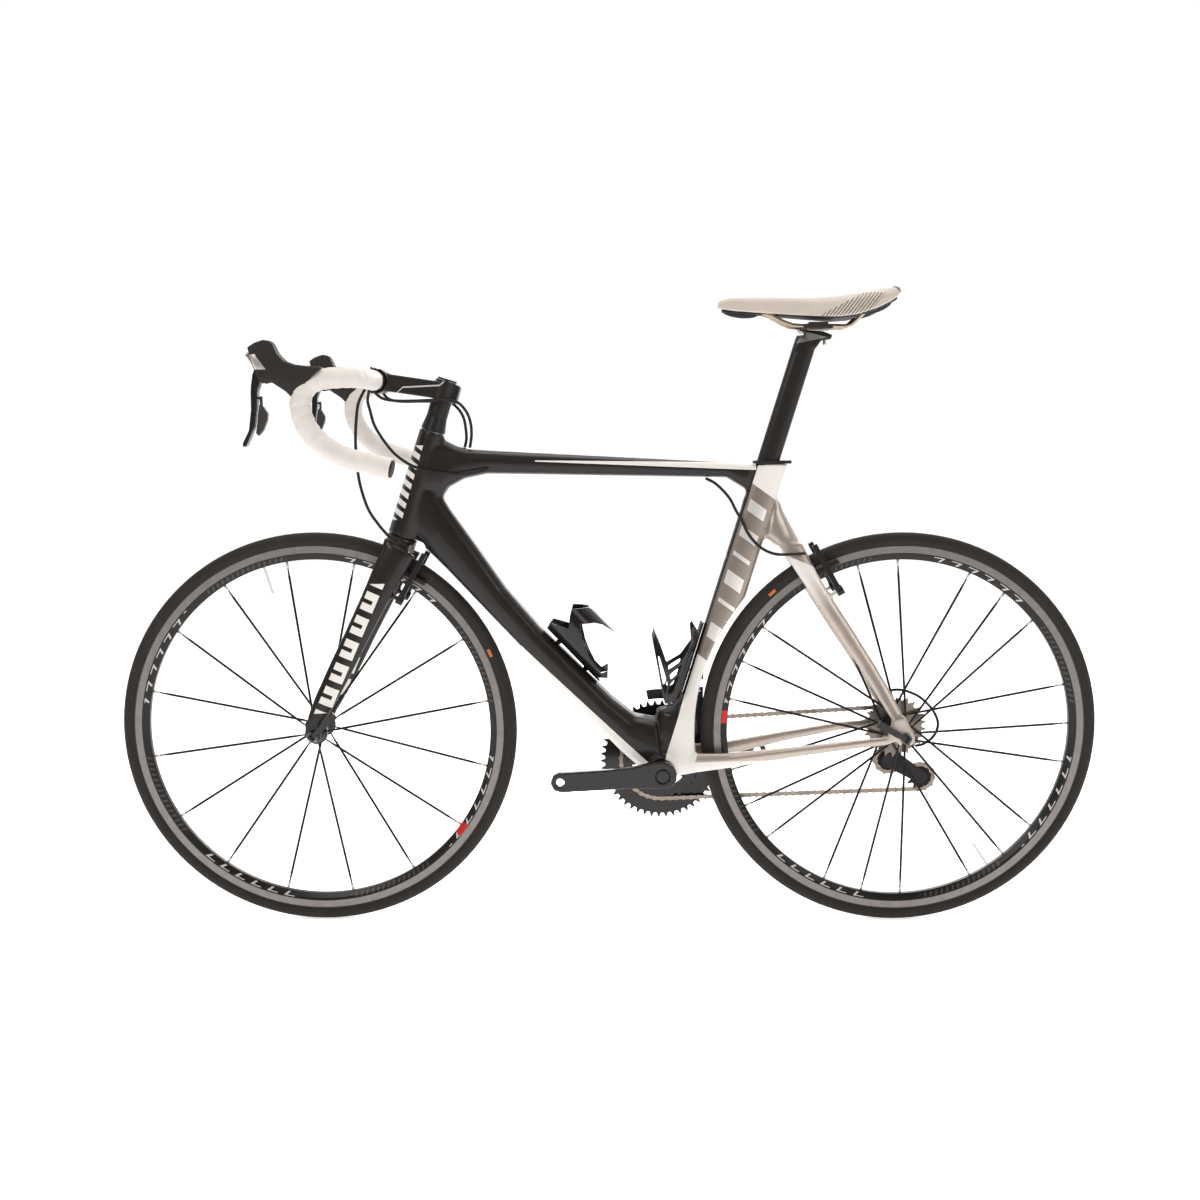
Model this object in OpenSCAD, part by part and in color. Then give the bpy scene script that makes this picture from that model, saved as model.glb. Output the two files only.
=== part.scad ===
// Road bicycle with an aero carbon frame, drop bar, 2 x 11 drive and linear-pull rim brakes.
// X runs backwards, Y to the rider's right, Z up. The origin is on the ground, midway between
// the wheel centres. A point of the side view is written [x, z].

/* [Frame] */
// Distance between the wheel centres
wheelbase = 979; // [940:1:1180]
// Height of the wheel centres above the bottom bracket
bb_drop = 64.5; // [50:0.5:80]
// Distance from the bottom bracket to the rear wheel centre
chainstay = 404.7; // [395:0.1:490]
// Angle of the steering axis from the ground
head_angle = 73; // [70:0.5:75]
// Angle of the seat tube from the ground
seat_angle = 73.2; // [71:0.1:75]
// Distance of the seat tube's centre line behind the bottom bracket
seat_setback = 25; // [20:1:32]
// Height of the seat tube's top above the bottom bracket, along the tube
seat_tube_length = 535; // [500:1:640]
// Length of the head tube
head_tube_length = 181; // [150:1:220]
// Distance from the front wheel centre up to the crown, along the steering axis
fork_length = 357; // [356:1:370]
// Distance of the wheel centre ahead of the steering axis
fork_offset = 45; // [40:1:50]
// Gap between the tyre and the parts that follow it
tyre_gap = 11; // [6:1:14]

/* [Wheels] */
// Outer radius of the tyres
tyre_r = 334; // [330:1:345]
// Radius of the tyre's round section
tyre_section_r = 12; // [10.5:0.5:14]
// Radius of the rim's outer edge
rim_r = 312; // [309:0.5:314]
// Depth of the rim
rim_depth = 23; // [18:1:30]
// Half of the rim's width
rim_half_width = 10; // [9:0.5:11.5]
// Number of front spokes
front_spoke_count = 16; // [12:2:24]
// Number of groups of three rear spokes
rear_spoke_groups = 7; // [6:1:8]
// Angle between neighbouring spokes of a group at the rim
group_angle = 13.4; // [8:0.1:17]
// Radius of a spoke
spoke_r = 1.1; // [0.9:0.1:1.5]
// Radius of both wheel axles
axle_r = 5; // [4.5:0.1:6]

/* [Drive] */
// Crank length
crank_length = 170; // [165:0.5:206]
// Angle of the left crank below the forward direction
crank_drop_angle = 3.7; // [0:0.1:10]
// Teeth of the large chainring
ring_teeth = 50; // [48:1:52]
// Teeth of the small chainring
small_ring_teeth = 34; // [34:1:36]
// Teeth of the sprocket that the chain runs on
cog_in_use = 15; // [15]
// Nominal pitch of the chain
chain_pitch = 12.7; // [12.7]
// Sideways place of the chain
chain_y = 42.1; // [41.8:0.1:42.4]

/* [Cockpit and seat] */
// Length of the stem
stem_length = 110; // [90:1:132]
// Angle between the stem and the horizontal
stem_rise = 8.3; // [0:0.1:20]
// Height of the stack of spacers
spacer_stack = 51; // [40:1:62]
// Radius of the steerer tube
steerer_r = 14.3; // [14:0.1:15]
// Radius of the bar's clamped middle
bar_clamp_r = 15.9; // [15:0.1:16.5]
// Half of the distance between the brake hoods
bar_half_width = 200; // [190:1:240]
// Radius of the bar with its tape
tape_r = 15.6; // [14.5:0.1:17]
// Half of the seatpost's depth, front to rear
post_half_depth = 18.2; // [15:0.1:18.2]
// Half of the seatpost's width
post_half_width = 11; // [9:0.5:12]
// How far the saddle clamp stands above the seat tube
post_exposed = 228; // [120:1:270]

/* [Fits] */
// Radial clearance of the parts that turn
running_gap = 0.05; // [0.02:0.01:0.09]
// Gap between parts that sit against each other without touching
seat_gap = 0.3; // [0.2:0.05:0.5]

/* [Hidden] */
$fn = 48;
big = 1500;

// Key points of the side view
rear_hub = [wheelbase / 2, tyre_r];
front_hub = [-wheelbase / 2, tyre_r];
bb = rear_hub - [sqrt(chainstay * chainstay - bb_drop * bb_drop), bb_drop];

// Steering axis: head(s, r) is s up the axis from the point nearest the hub, and r behind it
head_up = [cos(head_angle), sin(head_angle)];
head_back = [sin(head_angle), -cos(head_angle)];
head_foot = front_hub + fork_offset * head_back;
function head(s, r = 0) = head_foot + s * head_up + r * head_back;
head_low = fork_length;
head_top = fork_length + head_tube_length;
stem_low = head_top + spacer_stack;
stem_height = 34;
steer_x = head_low;

// Seat tube: seat(s, r) is s up its centre line from the level of the bottom bracket, r behind
seat_up = [cos(seat_angle), sin(seat_angle)];
seat_back = [sin(seat_angle), -cos(seat_angle)];
function seat(s, r = 0) = bb + [seat_setback, 0] + s * seat_up + r * seat_back;
seat_top = seat_tube_length;
seat_front_r = -27.5;
seat_rear_r = 26;
post_r = -6.8;
post_head = seat_top + post_exposed;
post_insert = 135;
post_travel_down = 50;

// Widths across the bicycle
shell_half = 43.25;
shell_r = 26;
shell_bore_r = 20.5;
spindle_r = 12;
fork_inside = 50;
fork_end = 7;
drop_inside = 65;
drop_thick = 7;
crank_inside = 59;
crank_thick = 13;
ring_thick = 1.8;
ring_y = chain_y + 6.8;
cog_step = 3.74;
cog_list = [25, 23, 21, 19, 17, 16, 15, 14, 13, 12, 11];
cog_index = 6;
wheel_clear_r = tyre_r + tyre_gap;
head_r_top = 21.5;
head_r_low = 25.5;
upper_bearing_r = 18.6;
lower_bearing_r = 22.8;
steerer_low_r = 16.5;
spacer_r = 17;
hanger = rear_hub + [9.5, -28];
guide_pulley = rear_hub + [-5.5, -64];
tension_pulley = rear_hub + [51.9, -94];
pulley_teeth = 11;

// Vectors
function mix(a, b, t) = a + (b - a) * t;
function unit(v) = v / norm(v);
function reversed(v) = [for (i = [len(v) - 1:-1:0]) v[i]];
function side(p, y) = [p[0], y, p[1]];
function power(v, e) = sign(v) * pow(abs(v), e);

// Ring of a tube of the side view: its edges a and b are [x, z], half_w is its half width
function edge_ring(a, b, half_w, n = 16, e = 0.8) = let (c = (a + b) / 2, h = (b - a) / 2)
    [for (i = [0:n - 1]) let (u = power(cos(360 * i / n), e), v = power(sin(360 * i / n), e))
        [c[0] + h[0] * u, half_w * v, c[1] + h[1] * u]];

// Ring in a level plane, and in a plane across the bicycle's length
function level_ring(p, hx, hy, n = 14) = [for (i = [0:n - 1])
    [p[0] + hx * power(cos(360 * i / n), 0.9), p[1] + hy * power(sin(360 * i / n), 0.9), p[2]]];
function cross_ring(p, hy, hz, n = 14) = [for (i = [0:n - 1])
    [p[0], p[1] + hy * power(cos(360 * i / n), 0.9), p[2] + hz * power(sin(360 * i / n), 0.9)]];

// Round ring across a route at point k
ref = unit([0.4, 0.6, 0.7]);
function heading(path, k) = unit(path[min(k + 1, len(path) - 1)] - path[max(k - 1, 0)]);
function round_ring(path, k, r, n) = let (t = heading(path, k), a = unit(cross(t, ref)), b = cross(t, a))
    [for (i = [0:n - 1]) path[k] + r * (cos(360 * i / n) * a + sin(360 * i / n) * b)];

// Smooth route through hand-set points, m steps between neighbours
function bend(a, b, c, d, t) = 0.5 * ((2 * b) + (c - a) * t + (2 * a - 5 * b + 4 * c - d) * t * t
    + (3 * b - a - 3 * c + d) * t * t * t);
function route(p, m) = [for (i = [0:len(p) - 2], j = [0:m - 1])
    bend(p[max(i - 1, 0)], p[i], p[i + 1], p[min(i + 2, len(p) - 1)], j / m), p[len(p) - 1]];

// Closed solid through rings of equal length
module loft(rings) {
    n = len(rings[0]);
    m = len(rings);
    mid0 = (rings[0][0] + rings[0][n / 2]) / 2;
    mid1 = (rings[1][0] + rings[1][n / 2]) / 2;
    turn = cross(rings[0][0] - mid0, rings[0][floor(n / 4)] - mid0) * (mid1 - mid0);
    pts = [for (r = rings) each (turn > 0 ? r : reversed(r))];
    polyhedron(pts, concat(
        [[for (i = [0:n - 1]) i]], [[for (i = [n - 1:-1:0]) (m - 1) * n + i]],
        [for (k = [0:m - 2], i = [0:n - 1]) let (j = (i + 1) % n)
            each [[k * n + i, (k + 1) * n + i, (k + 1) * n + j], [k * n + i, (k + 1) * n + j, k * n + j]]]));
}

// Solid round tube along a route, and a hollow one
module cord(path, r, n = 8) {
    loft([for (k = [0:len(path) - 1]) round_ring(path, k, is_list(r) ? r[k] : r, n)]);
}
module hose(path, r, wall, n = 14) {
    m = len(path);
    function rr(k) = is_list(r) ? r[k] : r;
    function w(k) = is_list(wall) ? wall[k] : wall;
    pts = [for (k = [0:m - 1]) each concat(round_ring(path, k, rr(k), n), round_ring(path, k, rr(k) - w(k), n))];
    function at(k, i, inner) = 2 * n * k + (inner ? n : 0) + i % n;
    polyhedron(pts, [for (i = [0:n - 1]) each concat(
        [for (k = [0:m - 2]) each [[at(k, i, false), at(k + 1, i, false), at(k + 1, i + 1, false)],
            [at(k, i, false), at(k + 1, i + 1, false), at(k, i + 1, false)],
            [at(k, i, true), at(k + 1, i + 1, true), at(k + 1, i, true)],
            [at(k, i, true), at(k, i + 1, true), at(k + 1, i + 1, true)]]],
        [[at(0, i, false), at(0, i + 1, false), at(0, i + 1, true)],
            [at(0, i, false), at(0, i + 1, true), at(0, i, true)],
            [at(m - 1, i, false), at(m - 1, i + 1, true), at(m - 1, i + 1, false)],
            [at(m - 1, i, false), at(m - 1, i, true), at(m - 1, i + 1, true)]])]);
}

// Placing helpers
module across(p, y0, y1, r) {
    translate([p[0], min(y0, y1), p[1]]) rotate([-90, 0, 0]) cylinder(h = abs(y1 - y0), r = r);
}
module ring_across(p, y0, y1, r, bore) {
    difference() {
        across(p, y0, y1, r);
        across(p, min(y0, y1) - 1, max(y0, y1) + 1, bore);
    }
}
module plate(pts, y0, y1) {
    translate([0, max(y0, y1), 0]) rotate([90, 0, 0]) linear_extrude(abs(y1 - y0)) polygon(pts);
}
// Everything on one side of a plane square to the side view; a is the direction of that side
module beyond(p, a) {
    translate([p[0], 0, p[1]]) rotate([0, -a, 0]) translate([0, -big / 2, -big / 2]) cube(big);
}
module on_head(s) {
    p = head(s);
    translate([p[0], 0, p[1]]) rotate([0, 90 - head_angle, 0]) children();
}
module on_seat(s, r = 0) {
    p = seat(s, r);
    translate([p[0], 0, p[1]]) rotate([0, 90 - seat_angle, 0]) children();
}
module aim(p, v) {
    translate(p) rotate([0, acos(v[2] / norm(v)), atan2(v[1], v[0])]) children();
}
module both_sides() {
    children();
    mirror([0, 1, 0]) children();
}
module turned(p) {
    translate([p[0], 0, p[1]]) rotate([-90, 0, 0]) children();
}
// Bar between two points
module rod(a, b, r) {
    aim(a, b - a) cylinder(h = norm(b - a), r = r, $fn = 16);
}

// ---------------------------------------------------------------- frame
module head_shape(grow = 0) {
    on_head(head_low) cylinder(h = head_tube_length, r1 = head_r_low + grow, r2 = head_r_top + grow);
}
module head_tube() color([0.06, 0.055, 0.05]) difference() {
    head_shape();
    on_head(head_low - 1) cylinder(h = head_tube_length + 2, r = upper_bearing_r - 1.6);
    on_head(head_low - 1) cylinder(h = 9, r = lower_bearing_r);
    on_head(head_top - 8) cylinder(h = 9, r = upper_bearing_r);
}

throat_front = head(440, 46);
throat_low = bb + [-10, 85.5];
module head_split(a) {
    beyond(throat_front, a);
}

top_rings = [
    [head(532, 8), head(424, 10), 21], [head(529, 34), head(437, 46), 21], [head(527, 44), head(456, 51), 21],
    [head(528, 66), head(478, 72), 20], [head(534.6, 94), head(497, 106), 19],
    [mix(head(534.6, 94), seat(516.4, -72.6), 0.5), mix(head(497, 106), seat(491.5, -65), 0.5), 17],
    [seat(516.4, -72.6), seat(491.5, -65), 15.5], [seat(526, -29), seat(482, -28), 14.5],
    [seat(531, -5), seat(474, -5), 14.5]];
module top_tube() color([0.08, 0.07, 0.06]) difference() {
    loft([for (r = top_rings) edge_ring(r[0], r[1], r[2])]);
    head_shape();
    beyond(throat_front, -90 + head_angle - 90);
    beyond(seat(400, seat_front_r), seat_angle - 90);
}

down_rings = [
    [head(head_low + 115, 10), head(head_low + 3, 4), 20], [head(head_low + 67, 63), head(head_low - 12, 47.6), 24],
    [head(head_low + 24.6, 118), head(head_low - 38, 95.4), 25],
    [mix(head(head_low + 24.6, 118), bb + [-82, 120.5], 0.25) - [7, 8], mix(head(head_low - 38, 95.4), bb + [-120, 80.5], 0.25), 26],
    [mix(head(head_low + 24.6, 118), bb + [-82, 120.5], 0.5) - [8, 9], mix(head(head_low - 38, 95.4), bb + [-120, 80.5], 0.5), 28],
    [mix(head(head_low + 24.6, 118), bb + [-82, 120.5], 0.75) - [4, 5], mix(head(head_low - 38, 95.4), bb + [-120, 80.5], 0.75), 31],
    [bb + [-82, 120.5], bb + [-120, 80.5], 34], [bb + [-46, 92], bb + [-70, 28], 36],
    [bb + [-8, 85.5], bb + [-30, -8], 37], [bb + [30, 85], bb + [-6, -22], 37]];
module down_shape() {
    loft([for (r = down_rings) edge_ring(r[0], r[1], r[2])]);
}
module down_tube() color([0.08, 0.07, 0.06]) difference() {
    down_shape();
    head_shape();
    on_head(head_low - 70) cylinder(h = 70, r = head_r_low + 16);
    beyond(throat_front, 90 - (180 - head_angle) + 90);
    beyond(throat_low, atan2(85.5, -10) - 90);
    across(bb, -big, big, shell_r);
}

seat_rings = [
    [seat(8, -40), seat(8, 30), 36], [seat(60, -56), seat(50, 28), 33], [seat(86, -62), seat(80, 27), 30],
    [seat(101, -38), seat(95, 26.5), 26], [seat(122, seat_front_r), seat(118, seat_rear_r), 22], [seat(220, seat_front_r), seat(220, seat_rear_r), 17],
    [seat(seat_top + 20, seat_front_r), seat(seat_top + 20, seat_rear_r), 15.5]];
module post_section(grow) {
    polygon([for (i = [0:31]) let (a = 360 * i / 32)
        [(post_half_depth + grow) * power(cos(a), 0.8), (post_half_width + grow) * power(sin(a), 0.8)]]);
}
module seat_shape() {
    loft([for (r = seat_rings) edge_ring(r[0], r[1], r[2])]);
}
module seat_tube() color([0.6, 0.58, 0.56]) difference() {
    seat_shape();
    beyond([0, seat(seat_top)[1]], 90);
    across(bb, -big, big, shell_r);
    across(rear_hub, -big, big, wheel_clear_r);
    on_seat(seat_top - post_insert - post_travel_down - 5, post_r)
        linear_extrude(post_insert + post_travel_down + 60) post_section(running_gap);
    beyond(throat_low, atan2(85.5, -10) + 90);
    beyond(bb + [0, -2], -90);
}

module bb_shell() color([0.07, 0.065, 0.06]) ring_across(bb, -shell_half, shell_half, shell_r, shell_bore_r);

stay_points = [[28, 22, 8, 10, 20], [60, 26, 12, 9, 17], [113, 30, 17, 8.5, 13.5], [212, 45, 34.5, 7.5, 9.5],
    [310, 60, 51, 6, 8], [372, 68.5, 60, 3.5, 8]];
right_rise = [2, 5, 7, 7, 5, 0];
function stay_ring(i, right) = let (p = stay_points[i], run = chainstay / 404.7)
    cross_ring([bb[0] + p[0] * run, p[1], bb[1] + p[2] * bb_drop / 64.5 + (right ? right_rise[i] : 0)], p[3], p[4]);
stay_end_up = [-14, 34];
drop_outline = concat(
    [for (a = [-160:20:40]) rear_hub + 16 * [cos(a), sin(a)]],
    [rear_hub + [-2, 38], rear_hub + [-24, 30], rear_hub + [-30, 4], rear_hub + [-30, -11]]);
module chain_stays() color([0.62, 0.58, 0.55]) for (s = [-1, 1]) difference() {
    union() {
        mirror([0, s < 0 ? 1 : 0, 0]) loft([for (i = [0:5]) stay_ring(i, s > 0)]);
        plate(drop_outline, s * drop_inside, s * (drop_inside + drop_thick));
        if (s > 0) across(hanger, drop_inside, drop_inside + drop_thick, 9.5);
    }
    seat_shape();
    across(rear_hub, -big, big, axle_r + running_gap);
    translate([rear_hub[0] - axle_r - running_gap, -big / 2, rear_hub[1] - 40])
        cube([2 * (axle_r + running_gap), big, 40]);
    if (s > 0) across(hanger, 0, big, 5);
}

wish_rings = [
    [[247, 284], 722, 12], [[245, 290], 704, 13], [[246, 301], 684, 15], [[254, 312], 664, 19], [[276, 322], 646, 23]];
wish_back = rear_hub - [489.5, 334];
seat_stay_points = [
    [300, 14.5, 652, 21, 9], [329, 28.5, 600, 17.5, 7.5], [361, 32.5, 550, 17, 7.5], [394, 38.5, 500, 17, 7],
    [427, 46, 450, 15.5, 6.5], [454, 55, 405, 14.5, 6], [476, 66, 366, 12, 5], [486, 69, 348, 10, 4]];
wish_low = 648;
module seat_stays() color([0.66, 0.62, 0.6]) {
    difference() {
        translate([wish_back[0], 0, wish_back[1]]) union() {
            loft([for (r = wish_rings) level_ring([(r[0][0] + r[0][1]) / 2, 0, r[1]], (r[0][1] - r[0][0]) / 2, r[2])]);
            both_sides() loft([for (p = seat_stay_points) level_ring([p[0], p[1], p[2]], p[3], p[4])]);
        }
        beyond(seat(300, seat_rear_r), seat_angle + 90);
        across(rear_hub, -big, big, 33);
        both_sides() plate(drop_outline, drop_inside, drop_inside + drop_thick);
        both_sides() at_brake(rear_brake) translate([3 - seat_gap, -boss_y - 9, -9]) cube([30, 18, 18]);
    }
    both_sides() brake_boss(rear_brake, 14);
}

module frame_bearings() color([0.75, 0.75, 0.76]) {
    on_head(head_low + 1) difference() {
        cylinder(h = 7, r = lower_bearing_r);
        translate([0, 0, -1]) cylinder(h = 9, r = steerer_low_r + running_gap);
    }
    on_head(head_top - 8) difference() {
        cylinder(h = 7.7, r = upper_bearing_r);
        translate([0, 0, -1]) cylinder(h = 10, r = steerer_r + running_gap);
    }
    both_sides() ring_across(bb, shell_half - 7, shell_half, shell_bore_r, spindle_r + running_gap);
}

clamp_z = seat(seat_top)[1];
module seat_clamp() color([0.04, 0.04, 0.04]) difference() {
    translate([0, 0, clamp_z]) linear_extrude(5.5) polygon([
        [seat(seat_top)[0] - 31, -9], [seat(seat_top)[0] - 27, -16], [seat(seat_top)[0] + 20, -15],
        [seat(seat_top)[0] + 32, -9], [seat(seat_top)[0] + 32, 9], [seat(seat_top)[0] + 20, 15],
        [seat(seat_top)[0] - 27, 16], [seat(seat_top)[0] - 31, 9]]);
    on_seat(seat_top - 30, post_r) linear_extrude(80) post_section(running_gap);
}

// ---------------------------------------------------------------- bottle cages
bottle_r = 37;
cage_wall = 2.5;
module cage_shell(p, a, length) {
    translate([p[0], 0, p[1]]) rotate([0, 90 - a, 0]) difference() {
        cylinder(h = length, r = bottle_r + cage_wall);
        translate([0, 0, -1]) cylinder(h = length + 2, r = bottle_r);
    }
}
// The front cage's reference point lies on the down tube's upper edge
front_cage_angle = 133.7;
front_cage_up = [cos(front_cage_angle), sin(front_cage_angle)];
front_cage_out = [front_cage_up[1], -front_cage_up[0]];
front_cage_foot = bb + [-151, 191.5];
cage_rise = 1;
front_wing = [[-156, 241], [-154, 261], [-151, 274], [-124, 275], [-111, 268], [-95, 257], [-82, 244], [-66, 227],
    [-78, 230], [-100, 246], [-113, 250], [-137, 249], [-134, 232], [-130, 214], [-122, 194], [-113, 177],
    [-102, 166], [-91, 171], [-91, 158], [-118, 156], [-168, 205], [-196, 236], [-184, 250]];
module front_bottle_cage() color([0.03, 0.03, 0.03]) {
    foot = front_cage_foot + (cage_rise + cage_wall + bottle_r) * front_cage_out;
    intersection() {
        cage_shell(foot - 90 * front_cage_up, front_cage_angle, 180);
        union() {
            plate([for (q = front_wing) bb + q], -45, 45);
            plate([for (q = [[-8, -62], [30, -62], [30, 62], [-8, 62]])
                front_cage_foot + q[0] * front_cage_out + q[1] * front_cage_up], -15, 15);
        }
    }
    for (k = [-32, 32]) let (c = front_cage_foot + k * front_cage_up) difference() {
        rod(side(c - 8 * front_cage_out, 0), side(c + (cage_rise + cage_wall + 2) * front_cage_out, 0), 4.5);
        down_shape();
    }
}
rear_wing = [[-22, 252], [-15, 246], [-12, 231], [0, 200], [9, 173], [32, 188], [50, 215], [48, 240], [51, 246],
    [60, 232], [56, 210], [46, 176], [30, 135], [22, 115], [4, 115], [0, 130], [-8, 175], [-16, 215], [-22, 245]];
rear_gap_low = [[-8, 195], [-6, 196], [8, 150], [8, 140], [4, 132], [0, 150]];
rear_gap_high = [[12, 166], [34, 182], [28, 168], [13, 156]];
rear_gap_mid = [[14, 150], [30, 165], [20, 136], [13, 131], [8, 134]];
module rear_bottle_cage() color([0.03, 0.03, 0.03]) intersection() {
    cage_shell(seat(100, seat_front_r - bottle_r - cage_wall - seat_gap), seat_angle, 160);
    difference() {
        union() {
            plate([for (q = rear_wing) bb + q], -45, 45);
            plate([seat(123, -60), seat(123, -20), seat(250, -20), seat(250, -45), seat(160, -60)], -16, 16);
        }
        plate([seat(100, 0), seat(100, seat_front_r), seat(260, seat_front_r), seat(260, 0)], -45, 45);
        plate([for (q = rear_gap_low) bb + q], -45, 45);
        plate([for (q = rear_gap_high) bb + q], -45, 45);
        plate([for (q = rear_gap_mid) bb + q], -45, 45);
    }
}

// ---------------------------------------------------------------- wheels
bead_thick = 2.2;
module tyre(hub) color([0.05, 0.045, 0.04]) turned(hub) rotate_extrude($fn = 120) {
    difference() {
        translate([tyre_r - tyre_section_r, 0]) circle(r = tyre_section_r);
        translate([tyre_r - tyre_section_r, 0]) circle(r = tyre_section_r - 2);
        translate([rim_r - 60, -50]) square([60, 100]);
        translate([rim_r - 1, -rim_half_width + rim_wall + seat_gap + bead_thick])
            square([6, 2 * (rim_half_width - rim_wall - seat_gap - bead_thick)]);
    }
    for (y = [seat_gap + rim_wall - rim_half_width, rim_half_width - rim_wall - seat_gap - bead_thick])
        translate([rim_r - 5, y]) square([6, bead_thick]);
}
rim_wall = 1.6;
rim_inner = rim_r - rim_depth;
module rim_section() {
    difference() {
        polygon([[rim_inner, -4], [rim_inner, 4], [rim_inner + 7, rim_half_width - 1], [rim_r - 12, rim_half_width],
            [rim_r, rim_half_width], [rim_r, -rim_half_width], [rim_r - 12, -rim_half_width],
            [rim_inner + 7, 1 - rim_half_width]]);
        polygon([[rim_inner + 2, -3], [rim_inner + 2, 3], [rim_inner + 8, rim_half_width - 3],
            [rim_r - 10, rim_half_width - 2.5], [rim_r - 10, 2.5 - rim_half_width], [rim_inner + 8, 3 - rim_half_width]]);
        translate([rim_r - 7.5, rim_wall - rim_half_width]) square([10, 2 * (rim_half_width - rim_wall)]);
    }
}
module valve(hub, a) {
    turn = [cos(a), 0, sin(a)];
    rod([hub[0], 0, hub[1]] + (rim_inner - 47) * turn, [hub[0], 0, hub[1]] + (rim_inner - 0.2) * turn, 2.6);
}
front_valve_angle = 107.5;
rear_valve_angle = -56;
module rim(hub, valve_angle) color([0.45, 0.43, 0.42]) {
    turned(hub) rotate_extrude($fn = 120) rim_section();
    valve(hub, valve_angle);
}
nipple_length = 11;
nipple_r = 2;
module spoke(hub, rim_angle, hub_angle, flange_r, flange_y) {
    c = [hub[0], 0, hub[1]];
    a = c + [flange_r * cos(hub_angle), flange_y, flange_r * sin(hub_angle)];
    b = c + [(rim_inner - 0.05) * cos(rim_angle), 0, (rim_inner - 0.05) * sin(rim_angle)];
    m = b - nipple_length * unit(b - a);
    rod(a, m + 0.3 * unit(b - a), spoke_r);
    rod(m, b, nipple_r);
}
front_spoke_angle = 9.6;
front_flange_y = 32;
front_flange_r = 19;
module front_spokes() color([0.07, 0.06, 0.06]) for (k = [0:front_spoke_count - 1])
    let (a = front_spoke_angle + 360 * k / front_spoke_count)
    spoke(front_hub, a, a, front_flange_r, k % 2 == 0 ? -front_flange_y : front_flange_y);
module front_hub_shell() color([0.04, 0.04, 0.04]) turned(front_hub) rotate_extrude() polygon([
    [axle_r + running_gap, -44], [11, -44], [15, -38], [front_flange_r, -34], [front_flange_r, -30], [12, -27],
    [11, 0], [12, 27], [front_flange_r, 30], [front_flange_r, 34], [15, 38], [11, 44], [axle_r + running_gap, 44]]);

rear_group_start = 2;
rear_left_r = 16;
rear_left_y = -36;
rear_right_r = 23;
rear_right_y = 11.5;
rear_spoke_lean = 60;
rear_spoke_step = 2;
module rear_spokes() color([0.07, 0.06, 0.06]) for (k = [0:rear_spoke_groups - 1])
    let (a = rear_group_start + 360 * k / rear_spoke_groups) {
        spoke(rear_hub, a, a, rear_left_r, rear_left_y);
        spoke(rear_hub, a + group_angle, a + rear_spoke_lean, rear_right_r, rear_right_y + rear_spoke_step);
        spoke(rear_hub, a - group_angle, a - rear_spoke_lean, rear_right_r, rear_right_y - rear_spoke_step);
    }
module rear_hub_shell() color([0.04, 0.04, 0.04]) turned(rear_hub) rotate_extrude() polygon([
    [axle_r + running_gap, -40], [10, -40], [rear_left_r, -38], [rear_left_r, -34], [12, -31], [13, 0], [15, 7],
    [rear_right_r, 9], [rear_right_r, 14], [17, 16.5], [axle_r + running_gap, 16.5]]);

// ---------------------------------------------------------------- axles and quick releases
rod_r = 2.5;
module front_axle() color([0.35, 0.35, 0.36]) {
    ring_across(front_hub, -56, 56, axle_r, rod_r + 0.1);
    both_sides() ring_across(front_hub, 44.4, 49.9, 10, axle_r);
    across(front_hub, -64.5, 66, rod_r);
    ring_across(front_hub, 57.2, 66, 8.5, rod_r);
    ring_across(front_hub, -64.5, -57.2, 8.5, rod_r);
}
module rear_axle() color([0.35, 0.35, 0.36]) {
    ring_across(rear_hub, -71, 71, axle_r, rod_r + 0.1);
    ring_across(rear_hub, -64.9, -40.4, 10, axle_r);
    ring_across(rear_hub, 61.8, 64.9, 10, axle_r);
    across(rear_hub, -79.5, 81, rod_r);
    ring_across(rear_hub, 72.2, 81, 8.5, rod_r);
    ring_across(rear_hub, -79.5, -72.2, 8.5, rod_r);
}
module qr_lever(hub, y, a) color([0.05, 0.05, 0.05]) translate([hub[0], y, hub[1]]) rotate([0, -a, 0]) {
    translate([0, 0, -6]) cylinder(h = 12, r = 5.5);
    translate([4, -4, -4]) cube([14, 4.5, 8]);
    translate([17, -6, -5]) cube([20, 4, 10]);
    translate([36, -8, -6]) cube([22, 4, 12]);
}
front_lever_angle = 44;
rear_lever_angle = 150;
module front_qr_lever() qr_lever(front_hub, -70.3, front_lever_angle);
module rear_qr_lever() qr_lever(rear_hub, -85.3, rear_lever_angle);

// ---------------------------------------------------------------- drive
function pitch_r(n) = n * chain_pitch / 360 * 180 / PI;
wheels = [[bb, pitch_r(small_ring_teeth), 1], [rear_hub, pitch_r(cog_in_use), 1],
    [guide_pulley, pitch_r(pulley_teeth), -1], [tension_pulley, pitch_r(pulley_teeth), 1]];
// Heading of the straight run from wheel i to the next one
function run_heading(i) = let (a = wheels[i % 4], b = wheels[(i + 1) % 4], d = b[0] - a[0])
    atan2(d[1], d[0]) - asin((a[2] * a[1] - b[2] * b[1]) / norm(d));
function wrap(a) = a - 360 * floor(a / 360);
function sweep(i) = let (w = wheels[i], turn = run_heading((i + 3) % 4) - run_heading(i)) wrap(w[2] > 0 ? turn : -turn);
function arc_length(i) = sweep(i) * wheels[i][1] * PI / 180;
function run_length(i) = let (a = wheels[i], b = wheels[(i + 1) % 4], q = a[2] * a[1] - b[2] * b[1])
    sqrt(pow(norm(b[0] - a[0]), 2) - q * q);
function start_of(i) = i == 0 ? 0 : start_of(i - 1) + arc_length(i - 1) + run_length(i - 1);
chain_length = start_of(3) + arc_length(3) + run_length(3);
link_count = 2 * round(chain_length / chain_pitch / 2);
link_pitch = chain_length / link_count;
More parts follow.
